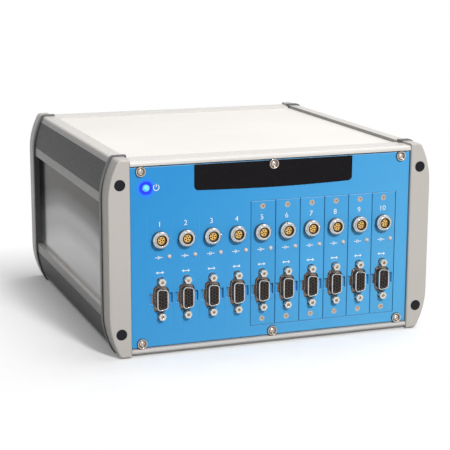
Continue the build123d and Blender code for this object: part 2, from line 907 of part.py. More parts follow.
# Channel boards, each lying against the side of its connector, and the backplane behind them
board_side = aux_x + aux_flange_wide / 2
board_front_y = front_y + board_front + board_thick
board_long = case_depth - board_front - board_rear
board_top = opening_top + board_above
board_foot = opening_foot + board_rise
backplane_top = opening_top + backplane_above
backplane_foot = opening_foot - backplane_below
with BuildPart() as channel_boards:
    with BuildSketch(facing(board_front_y + board_long)):
        with Locations(*[(x + board_side, board_foot) for x in channel_xs]):
            Rectangle(board_thick, board_top - board_foot, align=(Align.MIN, Align.MIN))
    extrude(amount=board_long)
save(channel_boards, "channel_boards")
with BuildPart() as backplane:
    with BuildSketch(facing(board_front_y + board_long + board_thick)):
        with Locations((0, backplane_foot)):
            Rectangle(
                2 * (panel_half_width - backplane_in),
                backplane_top - backplane_foot,
                align=(Align.CENTER, Align.MIN),
            )
    extrude(amount=board_thick)
save(backplane, "backplane")

# Power supply: a folded sheet-metal hood that stands on the bottom cover
supply_y = -(body_front + rail_ledge) - supply_rear - supply_deep / 2
with BuildPart() as power_supply:
    with BuildSketch(Plane.XY.offset(mid_height - cover_foot)):
        with Locations((supply_x, supply_y)):
            RectangleRounded(supply_wide, supply_deep, supply_corner)
    extrude(amount=supply_high)
    with BuildSketch(Plane.XY.offset(mid_height - cover_foot)):
        with Locations((supply_x, supply_y)):
            RectangleRounded(
                supply_wide - 2 * supply_wall,
                supply_deep - 2 * supply_wall,
                supply_corner - supply_wall,
            )
    extrude(amount=supply_high - supply_wall, mode=Mode.SUBTRACT)
save(power_supply, "power_supply")

# Rear panel: cut-outs for its fittings, vent slots, and the same screws as the front
rear_face = -panel_front
rear_back = -panel_back
switch_cavity_wide = rocker_wide + 2 * rocker_side_gap
switch_cavity_high = 2 * (rocker_half + rocker_end_gap)
switch_body_wide = switch_cavity_wide + 2 * switch_side_wall
switch_body_high = switch_cavity_high + 2 * switch_end_wall
with BuildPart() as rear_panel:
    with BuildSketch(facing(rear_face)):
        Rectangle(panel_width, panel_height)
    extrude(amount=panel_thick)
    chamfer(rear_panel.faces().sort_by(Axis.Y)[-1].edges(), panel_edge_bevel)
    with BuildSketch(facing(rear_face)):
        with Locations(*panel_screw_spots):
            Circle(panel_hole_radius)
        with Locations((inlet_x, fitting_row_z)):
            Rectangle(inlet_body_wide + 2 * cutout_fit, inlet_body_high + 2 * cutout_fit)
        with Locations((inlet_x, switch_z)):
            Rectangle(switch_body_wide + 2 * cutout_fit, switch_body_high + 2 * cutout_fit)
        with Locations((usb_x, fitting_row_z)):
            Rectangle(usb_wide + 2 * cutout_fit, usb_high + 2 * cutout_fit)
        with Locations((earth_x, fitting_row_z)):
            Circle(earth_radius + cutout_fit)
        with Locations((vent_x, vent_z)):
            with GridLocations(vent_pitch, 1, vent_count, 1):
                SlotOverall(vent_long, vent_wide, rotation=90)
    extrude(amount=panel_thick, mode=Mode.SUBTRACT)
save(rear_panel, "rear_panel")

# Mains inlet: flanged socket with a keyed mouth and three blades
with BuildPart() as inlet:
    with BuildSketch(facing_rear(rear_face)):
        with Locations((-inlet_x, fitting_row_z)):
            RectangleRounded(inlet_flange_wide, inlet_flange_high, inlet_corner)
    extrude(amount=inlet_flange_thick)
    with BuildSketch(facing_rear(rear_face)):
        with Locations((-inlet_x, fitting_row_z)):
            Rectangle(inlet_body_wide, inlet_body_high)
    extrude(amount=-inlet_body_depth)
    with BuildSketch(facing_rear(rear_face + inlet_flange_thick)) as mouth:
        with Locations((-inlet_x, fitting_row_z)):
            Rectangle(inlet_mouth_wide, inlet_mouth_high)
        chamfer(mouth.vertices().group_by(Axis.Y)[-1], inlet_mouth_cut)
    extrude(amount=-inlet_mouth_deep, mode=Mode.SUBTRACT)
    blade_spots = [
        (-inlet_x - blade_spread, fitting_row_z + blade_line_z),
        (-inlet_x + blade_spread, fitting_row_z + blade_line_z),
        (-inlet_x, fitting_row_z + blade_earth_z),
    ]
    with BuildSketch(facing_rear(rear_face - inlet_body_depth)):
        with Locations(*blade_spots):
            Rectangle(blade_wide + 2 * close_fit, blade_high + 2 * close_fit)
    extrude(amount=inlet_body_depth, mode=Mode.SUBTRACT)
save(inlet, "mains_inlet")
with BuildPart() as blades:
    with BuildSketch(facing_rear(rear_face - inlet_body_depth - blade_tail)):
        with Locations(*blade_spots):
            Rectangle(blade_wide, blade_high)
    extrude(amount=blade_tail + inlet_body_depth + inlet_flange_thick - blade_setback)
save(blades, "mains_inlet_blades")

# Power switch: flanged housing with two pivot holes, and a rocker that tips in it
pivot_y = rear_face + switch_flange_thick - rocker_pivot_depth
with BuildPart() as switch_housing:
    with BuildSketch(facing_rear(rear_face)):
        with Locations((-inlet_x, switch_z)):
            RectangleRounded(
                switch_body_wide + 2 * switch_flange_lip,
                switch_body_high + 2 * switch_flange_lip,
                inlet_corner,
            )
    extrude(amount=switch_flange_thick)
    with BuildSketch(facing_rear(rear_face)):
        with Locations((-inlet_x, switch_z)):
            Rectangle(switch_body_wide, switch_body_high)
    extrude(amount=-switch_body_depth)
    with BuildSketch(facing_rear(rear_face + switch_flange_thick)):
        with Locations((-inlet_x, switch_z)):
            Rectangle(switch_cavity_wide, switch_cavity_high)
    extrude(amount=-switch_cavity_depth, mode=Mode.SUBTRACT)
    with BuildSketch(lengthwise(inlet_x)):
        with Locations((pivot_y, switch_z)):
            Circle(rocker_pivot_radius + close_fit)
    extrude(
        amount=rocker_wide / 2 + rocker_pivot_length + rocker_side_gap,
        both=True,
        mode=Mode.SUBTRACT,
    )
save(switch_housing, "switch_housing")
with BuildPart() as rocker:
    with BuildSketch(lengthwise(inlet_x)):
        with BuildLine():
            Polyline(
                (pivot_y - rocker_keel, switch_z - rocker_keel_half),
                (pivot_y - rocker_keel, switch_z + rocker_keel_half),
                (pivot_y, switch_z + rocker_half),
                (pivot_y + rocker_crest, switch_z + rocker_half),
                (pivot_y + rocker_valley, switch_z),
                (pivot_y + rocker_crest, switch_z - rocker_half),
                (pivot_y, switch_z - rocker_half),
                close=True,
            )
        make_face()
    extrude(amount=rocker_wide / 2, both=True)
    with BuildSketch(lengthwise(inlet_x)):
        with Locations((pivot_y, switch_z)):
            Circle(rocker_pivot_radius)
    extrude(amount=rocker_wide / 2 + rocker_pivot_length, both=True)
pivot_axis = Axis((inlet_x, pivot_y, mid_height + switch_z), (1, 0, 0))
with BuildPart() as tipped_rocker:
    add(rocker.part.rotate(pivot_axis, rocker_tilt))
save(tipped_rocker, "switch_rocker")

# Data socket: square shell with its moulded base and tongue, and the small board that carries it
usb_back = rear_face - usb_depth
with BuildPart() as usb_shell:
    with BuildSketch(facing_rear(usb_back)):
        with Locations((-usb_x, fitting_row_z)):
            Rectangle(usb_wide, usb_high)
            Rectangle(usb_wide - 2 * usb_wall, usb_high - 2 * usb_wall, mode=Mode.SUBTRACT)
    extrude(amount=usb_depth + usb_proud)
save(usb_shell, "usb_shell")
with BuildPart() as usb_core:
    with BuildSketch(facing_rear(usb_back)):
        with Locations((-usb_x, fitting_row_z)):
            Rectangle(
                usb_wide - 2 * usb_wall - 2 * close_fit,
                usb_high - 2 * usb_wall - 2 * close_fit,
            )
    extrude(amount=usb_base)
    with BuildSketch(facing_rear(usb_back)):
        with Locations((-usb_x, fitting_row_z)):
            Rectangle(usb_tongue_wide, usb_tongue_high)
    extrude(amount=usb_depth + usb_proud - usb_tongue_setback)
save(usb_core, "usb_core")
with BuildPart() as interface_board:
    with BuildSketch(facing_rear(usb_back - board_thick)):
        with Locations((-usb_x, fitting_row_z)):
            Rectangle(usb_board_wide, usb_board_high)
    extrude(amount=board_thick)
save(interface_board, "interface_board")

# Earth socket: turned sleeve with a flange outside and a nut inside
with BuildPart() as earth_socket:
    with BuildSketch(facing_rear(rear_face)):
        with Locations((-earth_x, fitting_row_z)):
            Circle(earth_flange)
    extrude(amount=earth_flange_thick)
    with BuildSketch(facing_rear(rear_face)):
        with Locations((-earth_x, fitting_row_z)):
            Circle(earth_radius)
    extrude(amount=-earth_rear)
    with BuildSketch(facing_rear(rear_face + earth_flange_thick)):
        with Locations((-earth_x, fitting_row_z)):
            Circle(earth_bore)
    extrude(amount=-earth_bore_deep, mode=Mode.SUBTRACT)
save(earth_socket, "earth_socket")
with BuildPart() as earth_nut:
    with BuildSketch(facing_rear(rear_back)):
        with Locations((-earth_x, fitting_row_z)):
            RegularPolygon(earth_nut_flats / 2, 6, major_radius=False)
            Circle(earth_radius + close_fit, mode=Mode.SUBTRACT)
    extrude(amount=-earth_nut_thick)
save(earth_nut, "earth_nut")
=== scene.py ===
import math

import bmesh
import bpy
from bpy.props import FloatProperty, FloatVectorProperty, IntProperty, PointerProperty
from mathutils import Matrix, Vector


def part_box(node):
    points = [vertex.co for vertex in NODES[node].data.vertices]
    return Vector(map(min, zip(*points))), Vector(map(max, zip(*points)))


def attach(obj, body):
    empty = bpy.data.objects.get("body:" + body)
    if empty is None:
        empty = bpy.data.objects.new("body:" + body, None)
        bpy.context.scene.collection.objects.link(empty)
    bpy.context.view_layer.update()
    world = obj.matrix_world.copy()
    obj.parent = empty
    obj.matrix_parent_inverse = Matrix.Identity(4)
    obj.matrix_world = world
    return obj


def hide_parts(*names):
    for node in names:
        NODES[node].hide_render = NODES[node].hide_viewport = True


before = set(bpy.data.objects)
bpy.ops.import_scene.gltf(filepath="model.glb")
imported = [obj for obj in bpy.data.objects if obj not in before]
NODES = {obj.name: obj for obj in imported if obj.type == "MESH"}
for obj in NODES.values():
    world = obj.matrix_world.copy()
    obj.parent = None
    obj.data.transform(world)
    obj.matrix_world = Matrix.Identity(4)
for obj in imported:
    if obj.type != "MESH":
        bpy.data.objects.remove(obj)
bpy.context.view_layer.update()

bl_info = {
    "name": "Bench Potentiostat",
    "version": (1, 0, 0),
    "blender": (4, 5, 0),
    "location": "View3D > Sidebar > Potentiostat",
    "description": "Finishes and fine detail for a ten-channel bench potentiostat",
    "category": "Object",
}

MM = 0.001
CHANNELS = 10
BARE_CHANNELS = 4  # the first channels have no plate of their own
PRINT_THICK = 0.03 * MM
INSERT_HALF = 6.25 * MM
MIDDLE_SCREW_X = -1.0 * MM


# Places of the repeated fittings, read from the boxes of the model's nodes

def corners(node):
    """Lowest and highest corner of a node's box."""
    return [Vector(c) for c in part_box(node)]


def middle(node):
    """Centre of a node's box."""
    low, high = corners(node)
    return (low + high) / 2


def row_places(node, half=None):
    """Centres of a node's ten like pieces, in a row along X. Round ones need no half width."""
    low, high = corners(node)
    half = half or (high.z - low.z) / 2
    first, last = low.x + half, high.x - half
    step = (last - first) / (CHANNELS - 1)
    return [Vector((first + step * n, low.y, (low.z + high.z) / 2)) for n in range(CHANNELS)]


def lip_start(node, lip):
    """Distance from the middle plane at which the outermost lip of a front fitting starts."""
    return -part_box(node)[0][1] - lip


SOCKETS = row_places("socket_nuts")
CONNECTORS = row_places("aux_inserts", INSERT_HALF)
PANEL_LOW, PANEL_HIGH = corners("front_panel")
PANEL_MID = (PANEL_LOW + PANEL_HIGH) / 2
PANEL_Y = PANEL_LOW.y
POWER_LAMP = middle("power_lamp")
REAR_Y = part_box("rear_panel")[1][1]
PITCH = CONNECTORS[1].x - CONNECTORS[0].x


# Colours

def srgb(red, green, blue):
    """A screen colour of 0 to 255 as the linear colour that a shader takes."""
    values = [c / 255 for c in (red, green, blue)]
    return tuple(c / 12.92 if c <= 0.04045 else ((c + 0.055) / 1.055) ** 2.4 for c in values)


def toned(colour, factor, lift=0.0, most=1.0):
    """A colour made darker or lighter."""
    return [min(c * factor + lift, most) for c in colour]


# Node graphs

class Wire:
    """An output socket on which maths can be written as expressions."""

    def __init__(self, graph, socket):
        self.graph = graph
        self.socket = socket

    def maths(self, operation, *values):
        return self.graph.add("ShaderNodeMath", {"operation": operation}, *values)

    def __add__(self, other):
        return self.maths("ADD", self, other)

    def __sub__(self, other):
        return self.maths("SUBTRACT", self, other)

    def __mul__(self, other):
        return self.maths("MULTIPLY", self, other)

    def __radd__(self, other):
        return self.maths("ADD", other, self)

    def __rsub__(self, other):
        return self.maths("SUBTRACT", other, self)

    def __rmul__(self, other):
        return self.maths("MULTIPLY", other, self)

    def __gt__(self, other):
        return self.maths("GREATER_THAN", self, other)

    def __lt__(self, other):
        return self.maths("LESS_THAN", self, other)

    def power(self, other):
        return self.maths("POWER", self, other)

    def larger(self, other):
        return self.maths("MAXIMUM", self, other)

    def apart(self, other):
        """How far two values are from each other."""
        return self.maths("ABSOLUTE", self - other)


class Graph:
    """A node tree that is filled one node at a time."""

    def __init__(self, tree):
        self.tree = tree

    def add(self, kind, state=None, *values, **named):
        """Add a node, set what it is, then feed its sockets. Gives its first output."""
        node = self.tree.nodes.new(kind)
        for name, value in (state or {}).items():
            setattr(node, name, value)
        feeds = list(enumerate(values)) + list(named.items())
        for place, value in feeds:
            if value is None:
                continue
            if isinstance(place, str):
                place = place.replace("_", " ")
            socket = node.inputs[place]
            if isinstance(value, Wire):
                self.tree.links.new(value.socket, socket)
            else:
                socket.default_value = value
        return Wire(self, next((s for s in node.outputs if s.enabled), None))

    def output(self, wire, name):
        """Another output of the node that a wire comes from."""
        return Wire(self, wire.socket.node.outputs[name])

    def seen(self):
        """Mask that is 1 for rays from the camera, also by way of a mirror or of glass."""
        path = self.add("ShaderNodeLightPath")
        mask = self.output(path, "Is Camera Ray").larger(self.output(path, "Is Glossy Ray"))
        return mask.larger(self.output(path, "Is Transmission Ray"))


class ShaderGraph(Graph):
    """A material's node tree, with the patterns that the finishes here share."""

    def __init__(self, tree):
        super().__init__(tree)
        self.place = self.output(self.add("ShaderNodeTexCoord"), "Object")

    def axes(self):
        """Object coordinates one by one."""
        x = self.add("ShaderNodeSeparateXYZ", None, self.place)
        return x, self.output(x, "Y"), self.output(x, "Z")

    def stretched(self, scale):
        """Object coordinates with the ones along Y scaled."""
        return self.add("ShaderNodeMapping", None, self.place, Scale=(1.0, scale, 1.0))

    def noise(self, scale, detail=3.0, roughness=0.55, place=None):
        """Soft noise. The scale is in waves per metre."""
        state = {"noise_dimensions": "3D"}
        sockets = {"Scale": scale, "Detail": detail, "Roughness": roughness}
        return self.add("ShaderNodeTexNoise", state, place or self.place, **sockets)

    def cells(self, scale, place=None, feature="F1"):
        """Distances in a field of scattered points."""
        state = {"feature": feature}
        return self.add("ShaderNodeTexVoronoi", state, place or self.place, Scale=scale)

    def away_from(self, place):
        """Distance from a place."""
        state = {"operation": "DISTANCE"}
        gap = self.add("ShaderNodeVectorMath", state, self.place, tuple(place))
        return self.output(gap, "Value")

    def spread(self, value, low, high, to_low=0.0, to_high=1.0):
        """A value moved from one range to another and kept inside it."""
        return self.add("ShaderNodeMapRange", {"clamp": True}, value, low, high, to_low, to_high)

    def fade(self, value, near, far):
        """1 up to the near value, then falling to 0 at the far one."""
        return self.spread(value, near, far, 1.0, 0.0)

    def blend(self, factor, first, second):
        """Two colours mixed."""
        colours = [c if isinstance(c, Wire) else (*c, 1.0) for c in (first, second)]
        unused = [None] * 5
        return self.add("ShaderNodeMix", {"data_type": "RGBA"}, factor, *unused, *colours)

    def edge(self, radius):
        """Mask that is 1 along sharp edges, from the rounded and the true normal."""
        rounded = self.add("ShaderNodeBevel", {"samples": 4}, Radius=radius)
        true = self.output(self.add("ShaderNodeNewGeometry"), "Normal")
        likeness = self.add("ShaderNodeVectorMath", {"operation": "DOT_PRODUCT"}, rounded, true)
        return self.spread(1.0 - self.output(likeness, "Value"), 0.01, 0.16)

    def facing_up(self):
        """How far a face looks up, rounded at its edges: 1 for a flat top."""
        rounded = self.add("ShaderNodeBevel", {"samples": 4}, Radius=0.0004)
        return self.output(self.add("ShaderNodeSeparateXYZ", None, rounded), "Z")

    def relief(self, height, depth, strength=1.0, radius=None):
        """Normal from a height. Edges are rounded by a radius where one is given."""
        under = self.add("ShaderNodeBevel", {"samples": 4}, Radius=radius) if radius else None
        sockets = {"Strength": strength, "Distance": depth, "Height": height, "Normal": under}
        return self.add("ShaderNodeBump", None, **sockets)


# Finishes

def finish(name, pattern, **constants):
    """A Principled material. The pattern gives its varying sockets, the rest are constants."""
    material = bpy.data.materials.new(name)
    material.use_nodes = True
    tree = material.node_tree
    surface = next(n for n in tree.nodes if n.type == "BSDF_PRINCIPLED")
    for socket, value in constants.items():
        socket = socket.replace("_", " ")
        if isinstance(value, tuple):
            value = (*value, 1.0)
        surface.inputs[socket].default_value = value
    for socket, wire in pattern(ShaderGraph(tree)).items():
        tree.links.new(wire.socket, surface.inputs[socket])
    return material


def powder_coat(name, colour, grain=2e-5, roughness=0.42):
    """Fine-grained satin paint on metal, a little lighter along its edges as a painted highlight.
    """
    def pattern(g):
        fine = g.noise(2600, 2.0)
        broad = g.noise(9, 2.0)
        flecks = g.noise(900)
        shade = g.blend(g.spread(broad, 0.3, 0.7), toned(colour, 0.965), toned(colour, 1.025))
        shade = g.blend(g.spread(flecks, 0.56, 0.7) * 0.10, shade, toned(colour, 0.72))
        # painted highlight: lighter along edges
        shade = g.blend(g.edge(0.0004) * 0.22, shade, toned(colour, 1.25, most=0.95))
        return {
            "Base Color": shade,
            "Roughness": g.spread(flecks, 0.3, 0.7, roughness - 0.05, roughness + 0.07),
            "Normal": g.relief(fine + g.noise(700, 2.0) * 0.8, grain, 0.6, 0.0003),
        }
    return finish(name, pattern, Specular_IOR_Level=0.42)


def drawn_metal(
    name, colour, roughness, lines=1e-5, streak=0.10, upper=None, metallic=0.55, lit=None
):
    """Anodised metal with fine lines along the extrusion, and a painted highlight along its edges.

    A second colour is a painted reflection, its tone towards the top, with a lighter painted sheen
    band where the tone changes. A third is painted light, the tone of faces that look up.
    """
    def pattern(g):
        along = g.stretched(0.012)
        grain = g.noise(2400, 3.0, 0.6, along)
        streaks = g.noise(260, 3.0, 0.6, along)
        cloud = g.noise(14)
        shade = g.blend(g.spread(streaks, 0.35, 0.65), toned(colour, 1 - streak), colour)
        shade = g.blend(g.spread(cloud, 0.35, 0.7) * 0.3, shade, toned(colour, 0.88))
        if upper:
            # painted reflection: a dark tone towards the top, above a curved line
            back, height = g.axes()[1:]
            bow = back * back * 0.9 + back * 0.06 + (g.noise(6, 1.0) - 0.5) * 0.02
            dark_from, sheen_at, dark_to = 54 * MM, 74 * MM, 94 * MM
            shade = g.blend(g.spread(height + bow, dark_from, dark_to), shade, upper)
            # painted sheen: a lighter band at one height
            sheen = g.fade((height + bow).apart(sheen_at), 2 * MM, 8 * MM)
            shade = g.blend(sheen * 0.35, shade, colour)
        if lit:
            # painted light: faces that look up take a lighter tone
            normal = g.output(g.add("ShaderNodeNewGeometry"), "Normal")
            up = g.output(g.add("ShaderNodeSeparateXYZ", None, normal), "Z")
            shade = g.blend(g.spread(up, 0.40, 0.95), shade, lit)
        # painted highlight: lighter along edges
        shade = g.blend(g.edge(0.00025) * 0.35, shade, toned(colour, 1.35, most=0.95))
        mottle = grain + cloud * 0.4
        return {
            "Base Color": shade,
            "Roughness": g.spread(mottle, 0.5, 0.9, roughness - 0.05, roughness + 0.06),
            "Normal": g.relief(grain, lines, 0.5, 0.0002),
        }
    grey = (0.5, 0.5, 0.5)
    return finish(name, pattern, Metallic=metallic, Specular_Tint=grey, Specular_IOR_Level=0.3)


def plated_metal(name, colour, roughness, edge_highlight=0.5, painted_shade=None, depth=0.0, rim=0.00012):
    """Bright plated metal with faint turning marks and smudges, and a painted highlight along its
    edges.

    A second colour is painted shade where it lies nearer the middle plane than a depth.
    """
    def pattern(g):
        smudge = g.noise(420)
        fine = g.noise(5200, 2.0, 0.6, g.stretched(0.25))
        shade = g.blend(g.spread(smudge, 0.3, 0.75), colour, toned(colour, 0.80))
        if painted_shade:
            # painted shade behind the front lip
            proud = g.axes()[1].apart(0.0)
            shade = g.blend(g.fade(proud, depth - 0.6 * MM, depth), shade, painted_shade)
        # painted highlight: lighter along edges
        shade = g.blend(g.edge(rim) * edge_highlight, shade, toned(colour, 1.3, most=0.98))
        return {
            "Base Color": shade,
            "Roughness": g.spread(smudge, 0.3, 0.7, roughness * 0.75, roughness * 1.35),
            "Normal": g.relief(fine + smudge * 0.5, 5e-6, 0.6, 0.0001),
        }
    return finish(name, pattern, Metallic=0.8)


def moulded(name, colour, roughness, grain=1e-5, radius=0.0002, gloss=0.5):
    """Moulded plastic or rubber with a faint spark-eroded grain, and a painted highlight along its
    edges.
    """
    def pattern(g):
        fine = g.noise(3200)
        dust = g.noise(520)
        # a lighter tone, for dust and for the painted edge highlight
        light = toned(colour, 1.5, 0.012)
        shade = g.blend(g.spread(dust, 0.45, 0.75) * 0.35, colour, light)
        # painted highlight: lighter along edges
        shade = g.blend(g.edge(radius * 1.5) * 0.4, shade, light)
        return {
            "Base Color": shade,
            "Roughness": g.spread(dust, 0.3, 0.7, roughness - 0.06, roughness + 0.07),
            "Normal": g.relief(fine, grain, 0.6, radius),
        }
    return finish(name, pattern, Specular_IOR_Level=gloss)


def panel_paint(name, colour, pale, glow_at=None):
    """Smooth bright film on the front panel, with painted light: paler to the lower right, a
    painted highlight on upper edges, and a painted glow round a lamp where one is given.
    """
    def pattern(g):
        peel = g.noise(620, 2.0)
        dots = g.noise(4200, 2.0)
        across, _, height = g.axes()
        # painted light: paler towards the lower right
        slope = across - (height - PANEL_MID.z) * 0.9 + (g.noise(7, 2.0) - 0.5) * 0.06
        reach = 130 * MM
        shade = g.blend(g.spread(slope, -reach, reach), colour, pale)
        shade = g.blend(g.spread(dots, 0.4, 0.7) * 0.12, shade, toned(pale, 1.2, 0.01))
        # painted highlight on edges that look up
        lit_edge = g.spread(g.facing_up(), 0.08, 0.45)
        shade = g.blend(lit_edge * 0.5, shade, srgb(170, 215, 245))
        result = {
            "Base Color": shade,
            "Roughness": g.spread(peel, 0.3, 0.7, 0.36, 0.46),
            "Normal": g.relief(peel + dots * 0.3, 12e-6, 0.5, 0.00012),
        }
        if glow_at:
            # painted light from the power lamp: a glowing deep blue ring and a pale halo on the
            # panel round it
            away = g.away_from(glow_at) + (g.noise(700, 2.0) - 0.5) * (1.2 * MM)
            painted_glow_ring = g.fade(away, 4.4 * MM, 5.3 * MM)
            painted_halo = g.fade(away, 5.2 * MM, 7.8 * MM)
            shade = g.blend(painted_halo * 0.75, shade, srgb(30, 120, 245))
            result["Base Color"] = g.blend(painted_glow_ring, shade, srgb(25, 45, 225))
            glow = g.blend(painted_halo, [0.0] * 3, srgb(10, 60, 160))
            result["Emission Color"] = g.blend(painted_glow_ring, glow, srgb(28, 50, 235))
        return result
    # the panel's painted glow is emission
    constants = {"Emission_Strength": 0.5} if glow_at else {}
    return finish(name, pattern, Specular_IOR_Level=0.40, **constants)


def circuit_board(name):
    """Green board with paler tracks and rows of pads."""
    def pattern(g):
        _, back, height = g.axes()
        lanes = g.cells(420, g.stretched(0.35), "DISTANCE_TO_EDGE")
        track = lanes < 0.06
        pads = (g.cells(380) < 0.16) * (g.noise(60) > 0.52)
        shade = g.blend(track * 0.6, srgb(14, 72, 40), srgb(40, 120, 70))
        shade = g.blend(pads, shade, srgb(190, 180, 140))
        shade = g.blend(g.spread(back + height, -0.2, 0.3) * 0.2, shade, srgb(8, 50, 28))
        return {"Base Color": shade, "Normal": g.relief(track + pads, 3e-5, 0.6)}
    return finish(name, pattern, Roughness=0.38)


# Mesh pieces

def new_piece(name, mesh, *materials):
    """A mesh object of the model with its materials."""
    mesh.name = name
    piece = bpy.data.objects.new(name, mesh)
    bpy.context.scene.collection.objects.link(piece)
    for material in materials:
        mesh.materials.append(material)
    return piece


def evaluated_mesh(piece):
    """The mesh that a piece shows, with its modifiers or curve turned into faces."""
    depsgraph = bpy.context.evaluated_depsgraph_get()
    return bpy.data.meshes.new_from_object(piece.evaluated_get(depsgraph), depsgraph=depsgraph)


def drop(*pieces):
    """Take scratch objects away."""
    for piece in pieces:
        bpy.data.objects.remove(piece)


def geometry_tree(name, build, sizes):
    """A tree that copies what build makes to every point it is given. Its inputs are the sizes."""
    tree = bpy.data.node_groups.new(name, "GeometryNodeTree")
    face = tree.interface
    face.new_socket("Geometry", in_out="INPUT", socket_type="NodeSocketGeometry")
    for key, value in sizes.items():
        kind = "NodeSocketInt" if isinstance(value, int) else "NodeSocketFloat"
        face.new_socket(key, in_out="INPUT", socket_type=kind).default_value = value
    face.new_socket("material", in_out="INPUT", socket_type="NodeSocketMaterial")
    face.new_socket("Geometry", in_out="OUTPUT", socket_type="NodeSocketGeometry")
    g = Graph(tree)
    start = g.add("NodeGroupInput")
    unit = build(g, {key: g.output(start, key) for key in sizes})
    copies = g.add("GeometryNodeInstanceOnPoints", None, start, Instance=unit)
    solid = g.add("GeometryNodeRealizeInstances", None, copies)
    coloured = g.add("GeometryNodeSetMaterial", None, solid, Material=g.output(start, "material"))
    g.add("NodeGroupOutput", None, coloured)
    return tree


def repeated(name, build, places, material, sizes):
    """What build makes at each of the places, as one plain mesh."""
    tree = geometry_tree(name, build, sizes)
    points = bpy.data.meshes.new("places")
    points.from_pydata([tuple(place) for place in places], [], [])
    holder = new_piece("places", points)
    modifier = holder.modifiers.new("repeat", "NODES")
    modifier.node_group = tree
    given = {**sizes, "material": material}
    for item in tree.interface.items_tree:
        if item.name in given:
            modifier[item.identifier] = given[item.name]
    mesh = evaluated_mesh(holder)
    drop(holder)
    return mesh


def upright(g, shape):
    """A shape made along Z, turned to lie along Y."""
    return g.add("GeometryNodeTransform", None, shape, Rotation=(math.pi / 2, 0.0, 0.0))


def circle(g, sides, radius):
    """A round path in the XY plane."""
    kind = "GeometryNodeCurvePrimitiveCircle"
    return g.add(kind, {"mode": "RADIUS"}, Resolution=sides, Radius=radius)


def bore_unit(g, given):
    """One round bore or pin along Y."""
    sockets = {"Vertices": given["sides"], "Radius": given["radius"], "Depth": given["depth"]}
    return upright(g, g.add("GeometryNodeMeshCylinder", None, **sockets))


def ring_unit(g, given):
    """One round ring in an upright plane."""
    path = circle(g, given["sides"], given["radius"])
    section = circle(g, 6, given["wire_radius"])
    return upright(g, g.add("GeometryNodeCurveToMesh", None, path, section))


def washer_unit(g, given):
    """One flat ring of square section, in an upright plane."""
    path = circle(g, given["sides"], given["radius"])
    kind = "GeometryNodeCurvePrimitiveQuadrilateral"
    section = g.add(kind, None, Width=given["width"], Height=given["depth"])
    return upright(g, g.add("GeometryNodeCurveToMesh", None, path, section))


def cross_unit(g, given):
    """A cross of two bars, for a screw's drive. The second is less deep, so no faces coincide."""
    long, deep, wide = given["length"], given["depth"], given["width"]
    level = g.add("ShaderNodeCombineXYZ", None, long, deep, wide)
    plumb = g.add("ShaderNodeCombineXYZ", None, wide, deep * 0.94, long)
    bars = [g.add("GeometryNodeMeshCube", None, size) for size in (level, plumb)]
    cross = g.add("GeometryNodeMeshBoolean", {"operation": "UNION"})
    for bar in bars:
        g.tree.links.new(bar.socket, cross.socket.node.inputs["Mesh"])
    return g.add("GeometryNodeTransform", None, cross, Rotation=(0.0, 0.4, 0.0))


def bar_unit(g, given):
    """An upright printed line."""
    size = g.add("ShaderNodeCombineXYZ", None, given["width"], given["thickness"], given["height"])
    return g.add("GeometryNodeMeshCube", None, size)


def welded_copy(node):
    """A copy of a CAD node's mesh with its loose triangles joined."""
    mesh = NODES[node].data.copy()
    if "custom_normal" in mesh.attributes:
        mesh.attributes.remove(mesh.attributes["custom_normal"])
    form = bmesh.new()
    form.from_mesh(mesh)
    bmesh.ops.remove_doubles(form, verts=form.verts, dist=1e-6)
    form.to_mesh(mesh)
    form.free()
    mesh.materials.clear()
    return mesh


def smooth(mesh):
    """Smooth shading, kept sharp at edges over 32 degrees."""
    for face in mesh.polygons:
        face.use_smooth = True
    mesh.set_sharp_from_angle(angle=math.radians(32))


def carve(node, name, slot, cutter, material):
    """Keep a copy of a CAD node with shapes cut out of it, which stands for that node."""
    piece = new_piece(name, welded_copy(node), material)
    tool = new_piece("cutter", cutter)
    modifier = piece.modifiers.new("cut", "BOOLEAN")
    modifier.operation = "DIFFERENCE"
    modifier.solver = "EXACT"
    modifier.material_mode = "INDEX"
    modifier.object = tool
    mesh = evaluated_mesh(piece)
    drop(piece, tool)
    smooth(mesh)
    mesh.materials.clear()
    settle(new_piece(name, mesh, material), slot, node)


def settle(piece, slot, *nodes, body="case"):
    """Hang a finished piece on the body it rides on, and hide the nodes it stands for. The slot is
    not used.
    """
    if nodes:
        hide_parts(*nodes)
    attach(piece, body)


def settle_joined(name, slot, meshes, material):
    """Settle several meshes as one piece."""
    form = bmesh.new()
    for mesh in meshes:
        form.from_mesh(mesh)
    joined = bpy.data.meshes.new(name)
    form.to_mesh(joined)
    form.free()
    settle(new_piece(name, joined, material), slot)


def paint(material, *nodes):
    """Give CAD nodes a finished material."""
    for node in nodes:
        for place in NODES[node].material_slots:
            place.material = material


def stood_up(curve, place, material):
    """The mesh of a flat curve, in an upright plane at a place."""
    holder = bpy.data.objects.new(curve.name, curve)
    bpy.context.scene.collection.objects.link(holder)
    mesh = evaluated_mesh(holder)
    drop(holder)
    mesh.transform(Matrix.Translation(place) @ Matrix.Rotation(math.pi / 2, 4, "X"))
    mesh.materials.clear()
    mesh.materials.append(material)
    return mesh


def flat_shape(outline, thickness, place, material):
    """A thin plate in an upright plane from a closed outline."""
    curve = bpy.data.curves.new("outline", "CURVE")
    curve.dimensions = "2D"
    curve.fill_mode = "BOTH"
    curve.extrude = thickness / 2
    spline = curve.splines.new("POLY")
    spline.points.add(len(outline) - 1)
    for point, (x, z) in zip(spline.points, outline):
        point.co = (x, z, 0.0, 1.0)
    spline.use_cyclic_u = True
    return stood_up(curve, place, material)


